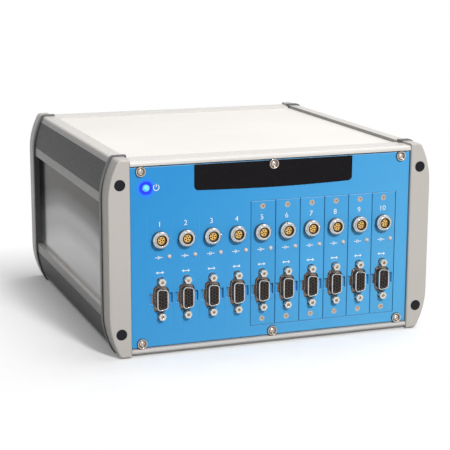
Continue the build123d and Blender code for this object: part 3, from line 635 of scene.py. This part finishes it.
def arc_points(x, z, radius, start, end, count):
    """Points along an arc, in degrees from +X towards +Z."""
    angles = [math.radians(start + (end - start) * n / count) for n in range(count + 1)]
    return [(x + radius * math.cos(a), z + radius * math.sin(a)) for a in angles]


def rectangle(half_wide, half_high):
    """Outline of a rectangle round the origin."""
    upper = [(half_wide, half_high), (-half_wide, half_high)]
    return [(-x, -z) for x, z in upper] + upper


def double_arrow(line_half):
    """Outline of an arrow with a head at each end, for signals in and out."""
    tip, neck, head_half = 3.0 * MM, 1.6 * MM, 1.1 * MM
    upper = [(-tip, 0.0), (-neck, head_half), (-neck, line_half), (neck, line_half)]
    upper.append((neck, head_half))
    return upper + [(-x, -z) for x, z in upper]


# Settings

def tone(name, description, *screen):
    """A colour setting. Its default is a screen colour."""
    return FloatVectorProperty(
        name=name,
        description=description,
        subtype="COLOR",
        size=3,
        min=0.0,
        max=1.0,
        default=srgb(*screen),
    )


def length(name, description, default, least, most):
    """A length setting. Its numbers are millimetres."""
    return FloatProperty(
        name=name,
        description=description,
        default=default * MM,
        min=least * MM,
        max=most * MM,
        unit="LENGTH",
    )


class CaseSettings(bpy.types.PropertyGroup):
    """Colours of the case."""
    frame_colour: tone("Frame paint", "Colour of the cast side frames", 190, 185, 179)
    cover_colour: tone("Cover paint", "Colour of the covers and the rails", 240, 236, 231)
    profile_colour: tone("Corner profiles", "Tone of the anodised corner profiles", 150, 149, 148)
    side_colour: tone("Side panels", "Tone of the anodised side panels", 224, 224, 225)
    # painted reflection: the side panels' dark tone towards the top
    side_upper: tone("Side panels, top", "Tone of the side panels towards the top", 88, 85, 83)
    trim_colour: tone("Shoulder trims", "Colour of the dark strips along the shoulders", 36, 37, 39)
    seal_colour: tone("Seals", "Colour of the seals behind the frames", 78, 79, 81)


class PanelSettings(bpy.types.PropertyGroup):
    """Front panel colours and print."""
    panel_colour: tone("Front panel", "Colour of the panel and the module plates", 30, 141, 208)
    # painted light: the panel's tone to the lower right
    pale_colour: tone("Front panel, corner", "Its colour to the lower right", 82, 170, 222)
    number_size: length("Number height", "Size of the printed channel numbers", 5.3, 1, 8)
    line_width: length("Dividing lines", "Width of the printed dividing lines", 0.35, 0.1, 2)


class ConnectorSettings(bpy.types.PropertyGroup):
    """Contacts of the front connectors."""
    contact_radius: length("Contact hole", "Radius in the auxiliary connectors", 0.72, 0.2, 0.9)
    socket_pins: IntProperty(
        name="Socket contacts",
        description="Contacts in the ring of each round socket",
        default=5,
        min=2,
        max=9,
    )
    pin_radius: length("Socket contact hole", "Radius in the round sockets", 0.56, 0.1, 0.8)


class StageSettings(bpy.types.PropertyGroup):
    """Light and background."""
    key_power: FloatProperty(
        name="Key lamp",
        description="Power of the main lamp",
        default=22.8,
        min=0.0,
        unit="POWER",
    )
    room_light: FloatProperty(
        name="Room light",
        description="Strength of the even light of the room",
        default=0.34,
        min=0.0,
    )


class PotentiostatSettings(bpy.types.PropertyGroup):
    """All settings of the potentiostat."""
    case: PointerProperty(type=CaseSettings)
    panel: PointerProperty(type=PanelSettings)
    connectors: PointerProperty(type=ConnectorSettings)
    stage: PointerProperty(type=StageSettings)


def settings():
    """The settings of the open scene."""
    return bpy.context.scene.potentiostat


def whole(colour):
    """A colour setting as three plain numbers."""
    return [float(c) for c in colour]


# Operators

class POTENTIOSTAT_OT_stage(bpy.types.Operator):
    """Camera, lamps, floor and background"""
    bl_idname = "potentiostat.stage"
    bl_label = "Stage"

    def execute(self, context):
        scene = context.scene
        scene.view_settings.view_transform = "Standard"
        self.add_camera(scene)
        self.add_floor()
        self.add_room(scene)
        power = settings().stage.key_power
        key_place, key_size = (0.14, -1.50, 1.06), 0.24
        overhead_place, overhead_size, overhead_share = (0.55, 0.15, 1.50), 1.3, 0.43
        self.add_lamp("key", key_place, key_size, power)
        self.add_lamp("overhead", overhead_place, overhead_size, power * overhead_share)
        return {"FINISHED"}

    def add_camera(self, scene):
        """The camera of the view from the front left, fitted to the panel and the case."""
        camera = bpy.data.cameras.new("camera")
        camera.lens = 109.618
        camera.sensor_width = 36.0
        camera.shift_x = -0.01818
        camera.clip_start = 0.01
        camera.clip_end = 50.0
        right = Vector((0.937533, -0.347872, 0.004022))
        up = Vector((0.071503, 0.203993, 0.976358))
        forward = Vector((0.340468, 0.91508, -0.216124))
        turn = Matrix((right, up, -forward)).transposed().to_4x4()
        seat = bpy.data.objects.new("camera", camera)
        seat.matrix_world = Matrix.Translation((-0.36019, -1.00706, 0.29865)) @ turn
        scene.collection.objects.link(seat)
        scene.camera = seat

    def add_floor(self):
        """A floor that is lit by its shadows near the case and plain white further off."""
        form = bmesh.new()
        bmesh.ops.create_grid(form, x_segments=1, y_segments=1, size=6.0)
        mesh = bpy.data.meshes.new("floor")
        form.to_mesh(mesh)
        form.free()
        material = bpy.data.materials.new("floor")
        material.use_nodes = True
        tree = material.node_tree
        tree.nodes.clear()
        g = ShaderGraph(tree)
        seen = g.seen()
        grain = g.noise(40, 2.0)
        shade = g.blend(g.spread(grain, 0.3, 0.7), [0.93] * 3, [0.97] * 3)
        shade = g.blend(seen, [0.36] * 3, shade)
        base = g.add("ShaderNodeBsdfDiffuse", None, shade)
        glow = g.add("ShaderNodeEmission", None, Color=(1.0, 1.0, 1.0, 1.0), Strength=1.0)
        across, along, _ = g.axes()
        half_wide, half_long, reach, least = 118 * MM, 122 * MM, 115 * MM, 0.12
        beside = (across.apart(0.0) - half_wide).larger(0.0)
        before = (along.apart(0.0) - half_long).larger(0.0)
        away = (beside * beside + before * before).power(0.5)
        whiten = g.spread(away, 0.0, reach, least, 1.0)
        mixed = g.add("ShaderNodeMixShader", None, seen * whiten, base, glow)
        g.add("ShaderNodeOutputMaterial", None, mixed)
        new_piece("floor", mesh, material)

    def add_room(self, scene):
        world = bpy.data.worlds.new("room")
        world.use_nodes = True
        scene.world = world
        tree = world.node_tree
        tree.nodes.clear()
        g = Graph(tree)
        white = (1.0, 1.0, 1.0, 1.0)
        light = g.add("ShaderNodeBackground", None, white, settings().stage.room_light)
        shown = g.add("ShaderNodeBackground", None, white, 1.0)
        mixed = g.add("ShaderNodeMixShader", None, g.seen(), light, shown)
        g.add("ShaderNodeOutputWorld", None, mixed)

    def add_lamp(self, name, place, size, power):
        """A round lamp that looks at the middle of the front panel."""
        lamp = bpy.data.lights.new(name, "AREA")
        lamp.shape = "DISK"
        lamp.size = size
        lamp.energy = power
        holder = bpy.data.objects.new(name, lamp)
        holder.location = place
        aim = PANEL_MID - Vector(place)
        holder.rotation_euler = aim.to_track_quat("-Z", "Y").to_euler()
        bpy.context.scene.collection.objects.link(holder)


class POTENTIOSTAT_OT_case(bpy.types.Operator):
    """Paint, anodising, seals and trims of the case"""
    bl_idname = "potentiostat.case"
    bl_label = "Case"

    def execute(self, context):
        case = settings().case
        frame_tone, cover_tone = whole(case.frame_colour), whole(case.cover_colour)
        side_tone, side_upper = whole(case.side_colour), whole(case.side_upper)
        frame_paint = powder_coat("frame_paint", frame_tone)
        # painted shade: the rear frames have the front frames' paint, made darker
        rear_painted_shade = powder_coat("rear_frame_painted_shade", toned(frame_tone, 0.8), roughness=0.32)
        cover_paint = powder_coat("cover_paint", cover_tone, 12e-6)
        rail_paint = powder_coat("rail_paint", toned(cover_tone, 0.78), 1e-5, 0.30)
        # painted light: the cover tone on faces of the profiles that look up
        profile = drawn_metal(
            "profile_metal", whole(case.profile_colour), 0.30, 3e-6, 0.02, lit=cover_tone
        )
        # painted reflection: the side sheets darken towards the top
        sheet = drawn_metal("side_sheet", side_tone, 0.15, 3e-6, 0.04, side_upper, 0.8)
        trim = moulded("shoulder_trim", whole(case.trim_colour), 0.50, 12e-6, gloss=0.3)
        seal = moulded("seal_rubber", whole(case.seal_colour), 0.42, 2e-5, 0.0006)
        cap = moulded("cap_plastic", srgb(8, 8, 18), 0.34, gloss=0.25)
        ends, levels = ("front", "rear"), ("upper", "lower")
        for side in ("left", "right"):
            paint(frame_paint, f"front_frame_{side}")
            paint(rear_painted_shade, f"rear_frame_{side}")
            paint(seal, *[f"{end}_seal_{side}" for end in ends])
            paint(profile, *[f"{level}_profile_{side}" for level in levels])
            paint(trim, *[f"{level}_trim_{side}" for level in levels])
            paint(sheet, f"side_panel_{side}")
        paint(cover_paint, "top_cover", "bottom_cover", "rear_panel")
        paint(rail_paint, *[f"{end}_rail_{level}" for end in ends for level in levels])
        paint(cap, "frame_screw_caps")
        return {"FINISHED"}


class POTENTIOSTAT_OT_panel(bpy.types.Operator):
    """Blue front panel, module plates, dark plate and print"""
    bl_idname = "potentiostat.panel"
    bl_label = "Front panel"

    def execute(self, context):
        panel = settings().panel
        blue, pale = whole(panel.panel_colour), whole(panel.pale_colour)
        lamp_face = (POWER_LAMP.x, PANEL_Y, POWER_LAMP.z)
        paint(panel_paint("panel_blue", blue, pale, lamp_face), "front_panel")
        for number in range(BARE_CHANNELS + 1, CHANNELS + 1):
            # neighbouring plates differ a little in tone
            shift = 0.97 + 0.05 * ((number * 7) % 5) / 4
            tones = [toned(colour, shift) for colour in (blue, pale)]
            paint(panel_paint(f"plate_blue_{number}", *tones), f"module_plate_{number:02d}")
        ink = moulded("print_ink", srgb(240, 244, 248), 0.5)
        self.add_numbers(ink, panel.number_size)
        self.add_lines(blue, panel.line_width)
        self.add_symbols(ink)
        self.add_dark_plate()
        return {"FINISHED"}

    def print_place(self, x, z):
        """A place on the panel's face. Its height is from the panel's middle."""
        return Vector((x, PANEL_Y - PRINT_THICK / 2, PANEL_MID.z + z))

    def add_numbers(self, ink, size):
        """The channel numbers, over the sockets."""
        height = 23.2 * MM
        meshes = []
        for number, socket in enumerate(SOCKETS, 1):
            curve = bpy.data.curves.new("number", "FONT")
            curve.body = str(number)
            curve.size = size
            curve.align_x = curve.align_y = "CENTER"
            curve.extrude = PRINT_THICK / 2
            meshes.append(stood_up(curve, self.print_place(socket.x, height), ink))
        settle_joined("channel_numbers", "panel_blue", meshes, ink)

    def add_lines(self, blue, width):
        """Dividing lines, each left of a channel that has no plate of its own."""
        high, middle_z, shift = 83 * MM, -12.0 * MM, 0.6 * MM - PITCH / 2
        places = [self.print_place(s.x + shift, middle_z) for s in SOCKETS[:BARE_CHANNELS]]
        pale = moulded("line_ink", toned(blue, 1.12, 0.02), 0.42)
        sizes = {"width": width, "thickness": PRINT_THICK, "height": high}
        mesh = repeated("dividing_lines", bar_unit, places, pale, sizes)
        settle(new_piece("dividing_lines", mesh), "panel_blue")

    def add_symbols(self, ink):
        """Signs in place of the short words by each channel and by the power lamp."""
        cell_left, cell_z, port_z, power_right = 0.6 * MM, -0.2 * MM, -11.1 * MM, 7.4 * MM
        meshes = []
        for socket in SOCKETS:
            meshes += self.cell_sign(socket.x - cell_left, cell_z, ink)
            place = self.print_place(socket.x, port_z)
            meshes.append(flat_shape(double_arrow(0.28 * MM), PRINT_THICK, place, ink))
        x, z = POWER_LAMP.x + power_right, POWER_LAMP.z - PANEL_MID.z
        meshes += self.power_sign(x, z, ink)
        settle_joined("panel_symbols", "panel_blue", meshes, ink)

    def block(self, x, z, wide, high, ink):
        """A printed rectangle."""
        outline = rectangle(wide / 2, high / 2)
        return flat_shape(outline, PRINT_THICK, self.print_place(x, z), ink)

    def cell_sign(self, x, z, ink):
        """Circuit sign of a cell: a long and a short bar with a lead on each side."""
        line = 0.46 * MM
        return [
            self.block(x - 0.5 * MM, z, line, 2.8 * MM, ink),
            self.block(x + 0.5 * MM, z, line * 1.5, 1.6 * MM, ink),
            self.block(x - 1.75 * MM, z, 2.1 * MM, line, ink),
            self.block(x + 1.75 * MM, z, 2.1 * MM, line, ink),
        ]

    def power_sign(self, x, z, ink):
        """Broken circle with an upright bar."""
        outer, inner, start, end = 2.3 * MM, 1.8 * MM, 125, 415
        outline = arc_points(0, 0, outer, start, end, 28)
        outline += arc_points(0, 0, inner, end, start, 28)
        ring = flat_shape(outline, PRINT_THICK, self.print_place(x, z), ink)
        return [ring, self.block(x, z + 1.5 * MM, 0.5 * MM, 2.2 * MM, ink)]

    def add_dark_plate(self):
        """The dark plate at the panel's top edge, notched for the middle screw."""
        def pattern(g):
            fine = g.noise(1800)
            dust = g.noise(300)
            shade = g.blend(g.spread(dust, 0.45, 0.8) * 0.5, srgb(8, 5, 8), srgb(18, 15, 20))
            return {
                "Base Color": shade,
                "Roughness": g.spread(dust, 0.3, 0.7, 0.24, 0.36),
                "Normal": g.relief(fine, 6e-6, 0.5, 0.0001),
            }
        gloss = finish("dark_plate", pattern, Specular_IOR_Level=0.14)
        left, right, foot, corner, sag = -60.2 * MM, 60.1 * MM, 45.8 * MM, 3.0 * MM, 1.1 * MM
        rim, thick = 0.35 * MM, 0.25 * MM
        top = PANEL_HIGH.z - PANEL_MID.z - rim
        outline = [(left, top)]
        outline += arc_points(left + corner, foot + corner, corner, 180, 270, 10)
        count = 40
        for n in range(1, count):
            t = n / count
            x = left + corner + (right - left - 2 * corner) * t
            outline.append((x, foot - sag * 4 * t * (1 - t)))
        outline += arc_points(right - corner, foot + corner, corner, 270, 360, 10)
        outline.append((right, top))
        screw_z, clear = 61.25 * MM, 3.9 * MM
        half = math.sqrt(clear**2 - (top - screw_z) ** 2)
        start = math.degrees(math.atan2(top - screw_z, half))
        outline += arc_points(MIDDLE_SCREW_X, screw_z, clear, start, -180 - start, 40)
        place = Vector((0.0, PANEL_Y - thick / 2, PANEL_MID.z))
        mesh = flat_shape(outline, thick, place, gloss)
        settle(new_piece("dark_plate", mesh), "insert_dark")


class POTENTIOSTAT_OT_sockets(bpy.types.Operator):
    """Round sockets: ring nuts, bodies and gold inserts with their contacts"""
    bl_idname = "potentiostat.sockets"
    bl_label = "Round sockets"

    def execute(self, context):
        connectors = settings().connectors
        bright, shaded = srgb(212, 210, 208), srgb(112, 108, 106)
        lip = lip_start("socket_nuts", 0.7 * MM)
        chrome = plated_metal("satin_chrome", bright, 0.16, 0.8, shaded, lip, 0.0003)
        paint(chrome, "socket_nuts", "socket_bodies")
        self.add_bezels()
        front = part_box("socket_inserts")[0][1]
        ring_radius, turn = 1.60 * MM, 0.45
        holes = []
        for socket in SOCKETS:
            for n in range(connectors.socket_pins):
                a = 2 * math.pi * n / connectors.socket_pins + turn
                x, z = socket.x + ring_radius * math.sin(a), socket.z + ring_radius * math.cos(a)
                holes.append((x, front, z))
            holes.append((socket.x, front, socket.z))
        self.add_contacts(holes, connectors.pin_radius)
        return {"FINISHED"}

    def add_contacts(self, holes, radius):
        """Gold inserts with a bore for each contact, and a dark floor in each bore as painted
        shade.
        """
        gold = plated_metal("gold_insert", srgb(255, 204, 120), 0.26, 0.3)
        # painted shade: a dark floor deep in each contact bore
        dark = moulded("contact_shadow", srgb(18, 10, 6), 0.7, gloss=0.1)
        bore, floor_thick, floor_back, sides = 2.4 * MM, 0.1 * MM, 1.1 * MM, 12
        sizes = {"radius": radius, "depth": bore, "sides": sides}
        cutter = repeated("contact_bores", bore_unit, holes, gold, sizes)
        carve("socket_inserts", "contact_inserts", "insert_gold", cutter, gold)
        floors = [(x, y + floor_back, z) for x, y, z in holes]
        sizes["depth"] = floor_thick
        plugs = repeated("contact_floors", bore_unit, floors, dark, sizes)
        settle(new_piece("socket_contact_painted_shade", plugs), "insert_dark")

    def add_bezels(self):
        """A black ring in the bore of each socket, round its contacts."""
        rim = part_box("socket_bodies")[0][1]
        black = moulded("bezel_black", srgb(8, 8, 10), 0.40, gloss=0.25)
        wide, deep, setback = 1.04 * MM, 1.0 * MM, 0.35 * MM
        places = [(s.x, rim + setback + deep / 2, s.z) for s in SOCKETS]
        sizes = {"radius": 3.35 * MM, "width": wide, "depth": deep, "sides": 48}
        mesh = repeated("socket_bezels", washer_unit, places, black, sizes)
        smooth(mesh)
        settle(new_piece("socket_bezels", mesh), "insert_dark")


class POTENTIOSTAT_OT_connectors(bpy.types.Operator):
    """Auxiliary connectors: contact holes, shells and jack posts"""
    bl_idname = "potentiostat.connectors"
    bl_label = "Auxiliary connectors"

    def execute(self, context):
        bright, shaded = srgb(226, 221, 216), srgb(120, 110, 104)
        lip = lip_start("aux_shells", 0.6 * MM)
        tin = plated_metal("tinned_shell", bright, 0.18, 1.0, shaded, lip, 0.0005)
        post = plated_metal("jack_post", srgb(232, 224, 213), 0.18, 0.9, rim=0.0003)
        paint(tin, "aux_shells")
        paint(post, "aux_jack_posts")
        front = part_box("aux_inserts")[0][1]
        rows, row_pitch, column_pitch, stagger = 5, 2.29 * MM, 1.98 * MM, 0.55 * MM
        holes = []
        for place in CONNECTORS:
            for column in (-1, 0, 1):
                lift = stagger if column else -stagger
                for row in range(rows):
                    x = place.x + column * column_pitch
                    z = place.z + (row - rows // 2) * row_pitch + lift
                    holes.append((x, front, z))
        self.add_contacts(holes, settings().connectors.contact_radius)
        return {"FINISHED"}

    def add_contacts(self, holes, radius):
        """Black inserts with a hole for each contact, and a metal ring in each hole."""
        black = moulded("connector_black", srgb(46, 42, 41), 0.42, gloss=0.3)
        copper = plated_metal("contact_gold", srgb(120, 78, 48), 0.4, 0.2)
        bore, ring_back, sides = 4.0 * MM, 0.9 * MM, 10
        sizes = {"radius": radius, "depth": bore, "sides": sides}
        cutter = repeated("contact_holes", bore_unit, holes, black, sizes)
        carve("aux_inserts", "connector_inserts", "insert_dark", cutter, black)
        springs = [(x, y + ring_back, z) for x, y, z in holes]
        sizes = {"radius": 0.46 * MM, "wire_radius": 0.10 * MM, "sides": sides}
        sleeves = repeated("contact_rings", ring_unit, springs, copper, sizes)
        settle(new_piece("connector_contacts", sleeves), "insert_gold")


class POTENTIOSTAT_OT_fasteners(bpy.types.Operator):
    """Screws with their drives, and collars"""
    bl_idname = "potentiostat.fasteners"
    bl_label = "Fasteners"

    def execute(self, context):
        bright, shaded = srgb(206, 196, 186), srgb(84, 70, 62)
        lip = lip_start("panel_collars", 0.3 * MM)
        steel = plated_metal("bright_steel", bright, 0.18)
        nickel = plated_metal("collar_nickel", bright, 0.16, 0.9, shaded, lip, 0.0003)
        paint(nickel, "panel_collars")
        paint(steel, "frame_screws")
        self.add_cross_drives(steel)
        self.add_socket_drives()
        return {"FINISHED"}

    def add_cross_drives(self, steel):
        """Cross drives in the collar screws of the front and rear panels."""
        head_half = 2.3 * MM
        low, high = corners("panel_screws")
        xs = (low.x + head_half, MIDDLE_SCREW_X, high.x - head_half)
        zs = (low.z + head_half, high.z - head_half)
        places = [(x, y, z) for y in (low.y, high.y) for x in xs for z in zs]
        sizes = {"length": 2.7 * MM, "width": 0.75 * MM, "depth": 1.8 * MM}
        cutter = repeated("cross_drives", cross_unit, places, steel, sizes)
        carve("panel_screws", "cross_head_screws", "bright_steel", cutter, steel)

    def add_socket_drives(self):
        """Six-sided drives in the screws of the module plates."""
        head_half, shift = 2.0 * MM, 0.65 * MM
        low, high = corners("module_plate_screws")
        zs = (low.z + head_half, high.z - head_half)
        places = [(s.x + shift, low.y, z) for s in SOCKETS[BARE_CHANNELS:] for z in zs]
        dull = plated_metal("plate_screw_steel", srgb(198, 182, 168), 0.20, 0.9, rim=0.0003)
        sizes = {"radius": 0.90 * MM, "depth": 2.0 * MM, "sides": 6}
        cutter = repeated("socket_drives", bore_unit, places, dull, sizes)
        carve("module_plate_screws", "hex_socket_screws", "bright_steel", cutter, dull)


class POTENTIOSTAT_OT_lamps(bpy.types.Operator):
    """Channel lamps and the lit power lamp"""
    bl_idname = "potentiostat.lamps"
    bl_label = "Lamps"

    def execute(self, context):
        def frosted(g):
            cloud = g.noise(1500, 2.0)
            shade = g.blend(g.spread(cloud, 0.3, 0.7), srgb(196, 188, 184), srgb(222, 214, 210))
            return {"Base Color": shade, "Normal": g.relief(cloud, 1e-5, 0.5)}

        def lit(g):
            away = g.away_from((POWER_LAMP.x, PANEL_Y, POWER_LAMP.z))
            streaks = (g.noise(900) - 0.5) * (2.2 * MM)
            core = g.fade(away + streaks, 2.1 * MM, 3.0 * MM)
            shade = g.blend(core, srgb(28, 60, 240), srgb(100, 205, 255))
            heart = g.fade(away + streaks * 1.6, 0.8 * MM, 1.7 * MM)
            shade = g.blend(heart, shade, srgb(225, 250, 255))
            bumps = g.relief(g.noise(900), 1e-5, 0.4)
            return {"Base Color": shade, "Emission Color": shade, "Normal": bumps}

        lens = finish(
            "lamp_lens", frosted, Roughness=0.28, Subsurface_Weight=0.2, Subsurface_Scale=0.001
        )
        paint(lens, "cell_lamps")
        paint(finish("power_lens", lit, Roughness=0.2, Emission_Strength=1.0), "power_lamp")
        return {"FINISHED"}


class POTENTIOSTAT_OT_rear(bpy.types.Operator):
    """Fittings at the back: inlet, switch, data socket and earth socket"""
    bl_idname = "potentiostat.rear"
    bl_label = "Rear fittings"

    def execute(self, context):
        black = moulded("moulded_black", srgb(24, 24, 26), 0.36)
        paint(black, "mains_inlet", "switch_housing")
        paint(self.marked_rocker(), "switch_rocker")
        paint(moulded("usb_white", srgb(228, 228, 224), 0.45), "usb_core")
        for name, screen, roughness, node in (
            ("blade_nickel", (205, 200, 188), 0.25, "mains_inlet_blades"),
            ("usb_steel", (205, 205, 206), 0.25, "usb_shell"),
            ("earth_gold", (214, 180, 110), 0.28, "earth_socket"),
            ("earth_steel", (190, 190, 190), 0.3, "earth_nut"),
        ):
            paint(plated_metal(name, srgb(*screen), roughness), node)
        self.add_marks(moulded("rear_ink", srgb(44, 44, 46), 0.5))
        return {"FINISHED"}

    def marked_rocker(self):
        """Black rocker with a white bar on its upper half and a white ring on its lower half."""
        centre = middle("switch_rocker")
        bar_z, bar_half_wide, bar_half_high = centre.z + 4.0 * MM, 0.35 * MM, 1.3 * MM
        ring_z, ring_radius, line_half = centre.z - 3.8 * MM, 1.2 * MM, 0.22 * MM

        def pattern(g):
            across, back, height = g.axes()
            beside = across.apart(centre.x)
            bar = (beside < bar_half_wide) * (height.apart(bar_z) < bar_half_high)
            above = height - ring_z
            away = (beside * beside + above * above).power(0.5)
            ring = away.apart(ring_radius) < line_half
            mark = bar.larger(ring) * (back > centre.y)
            fine = g.noise(3200)
            return {
                "Base Color": g.blend(mark, srgb(18, 18, 20), srgb(225, 225, 222)),
                "Roughness": g.spread(fine, 0.3, 0.7, 0.24, 0.32),
                "Normal": g.relief(fine, 6e-6, 0.5, 0.0004),
            }
        return finish("rocker_black", pattern)

    def add_marks(self, ink):
        """An earth sign over the earth socket and a double arrow over the data socket."""
        earth, data = middle("earth_socket"), middle("usb_shell")
        rise, line_half = 10 * MM, 0.2 * MM
        bars = [(2.2, line_half, 1.4 * MM)]
        bars += [(0.8 - 0.8 * n, (2.0 - 0.7 * n) * MM, line_half) for n in range(3)]
        meshes = []
        for z, half_wide, half_high in bars:
            place = self.print_place(earth.x, earth.z + rise + z * MM)
            outline = rectangle(half_wide, half_high)
            meshes.append(flat_shape(outline, PRINT_THICK, place, ink))
        place = self.print_place(data.x, data.z + rise)
        meshes.append(flat_shape(double_arrow(line_half), PRINT_THICK, place, ink))
        settle_joined("rear_marks", "insert_dark", meshes, ink)

    def print_place(self, x, z):
        """A place on the rear panel's face."""
        return Vector((x, REAR_Y + PRINT_THICK / 2, z))


class POTENTIOSTAT_OT_inside(bpy.types.Operator):
    """Boards, module rails and power supply"""
    bl_idname = "potentiostat.inside"
    bl_label = "Inside"

    def execute(self, context):
        rail = drawn_metal("module_rail", srgb(190, 190, 190), 0.35)
        supply = drawn_metal("supply_sheet", srgb(180, 182, 184), 0.3)
        paint(circuit_board("circuit_board"), "channel_boards", "backplane", "interface_board")
        paint(rail, "module_rail_upper", "module_rail_lower")
        paint(supply, "power_supply")
        return {"FINISHED"}


OPERATORS = (
    POTENTIOSTAT_OT_stage,
    POTENTIOSTAT_OT_case,
    POTENTIOSTAT_OT_panel,
    POTENTIOSTAT_OT_sockets,
    POTENTIOSTAT_OT_connectors,
    POTENTIOSTAT_OT_fasteners,
    POTENTIOSTAT_OT_lamps,
    POTENTIOSTAT_OT_rear,
    POTENTIOSTAT_OT_inside,
)


class POTENTIOSTAT_PT_panel(bpy.types.Panel):
    """Settings and steps of the potentiostat"""
    bl_idname = "POTENTIOSTAT_PT_panel"
    bl_label = "Potentiostat"
    bl_space_type = "VIEW_3D"
    bl_region_type = "UI"
    bl_category = "Potentiostat"

    def draw(self, context):
        layout = self.layout
        groups = context.scene.potentiostat
        for group in (groups.case, groups.panel, groups.connectors, groups.stage):
            box = layout.box()
            for name in group.__annotations__:
                box.prop(group, name)
        for operator in OPERATORS:
            layout.operator(operator.bl_idname)


GROUPS = (CaseSettings, PanelSettings, ConnectorSettings, StageSettings, PotentiostatSettings)


def register():
    for item in GROUPS + OPERATORS + (POTENTIOSTAT_PT_panel,):
        bpy.utils.register_class(item)
    bpy.types.Scene.potentiostat = PointerProperty(type=PotentiostatSettings)


def unregister():
    del bpy.types.Scene.potentiostat
    for item in reversed(GROUPS + OPERATORS + (POTENTIOSTAT_PT_panel,)):
        bpy.utils.unregister_class(item)


def main():
    register()
    for operator in OPERATORS:
        group, name = operator.bl_idname.split(".")
        getattr(getattr(bpy.ops, group), name)()


if __name__ == "__main__":
    main()
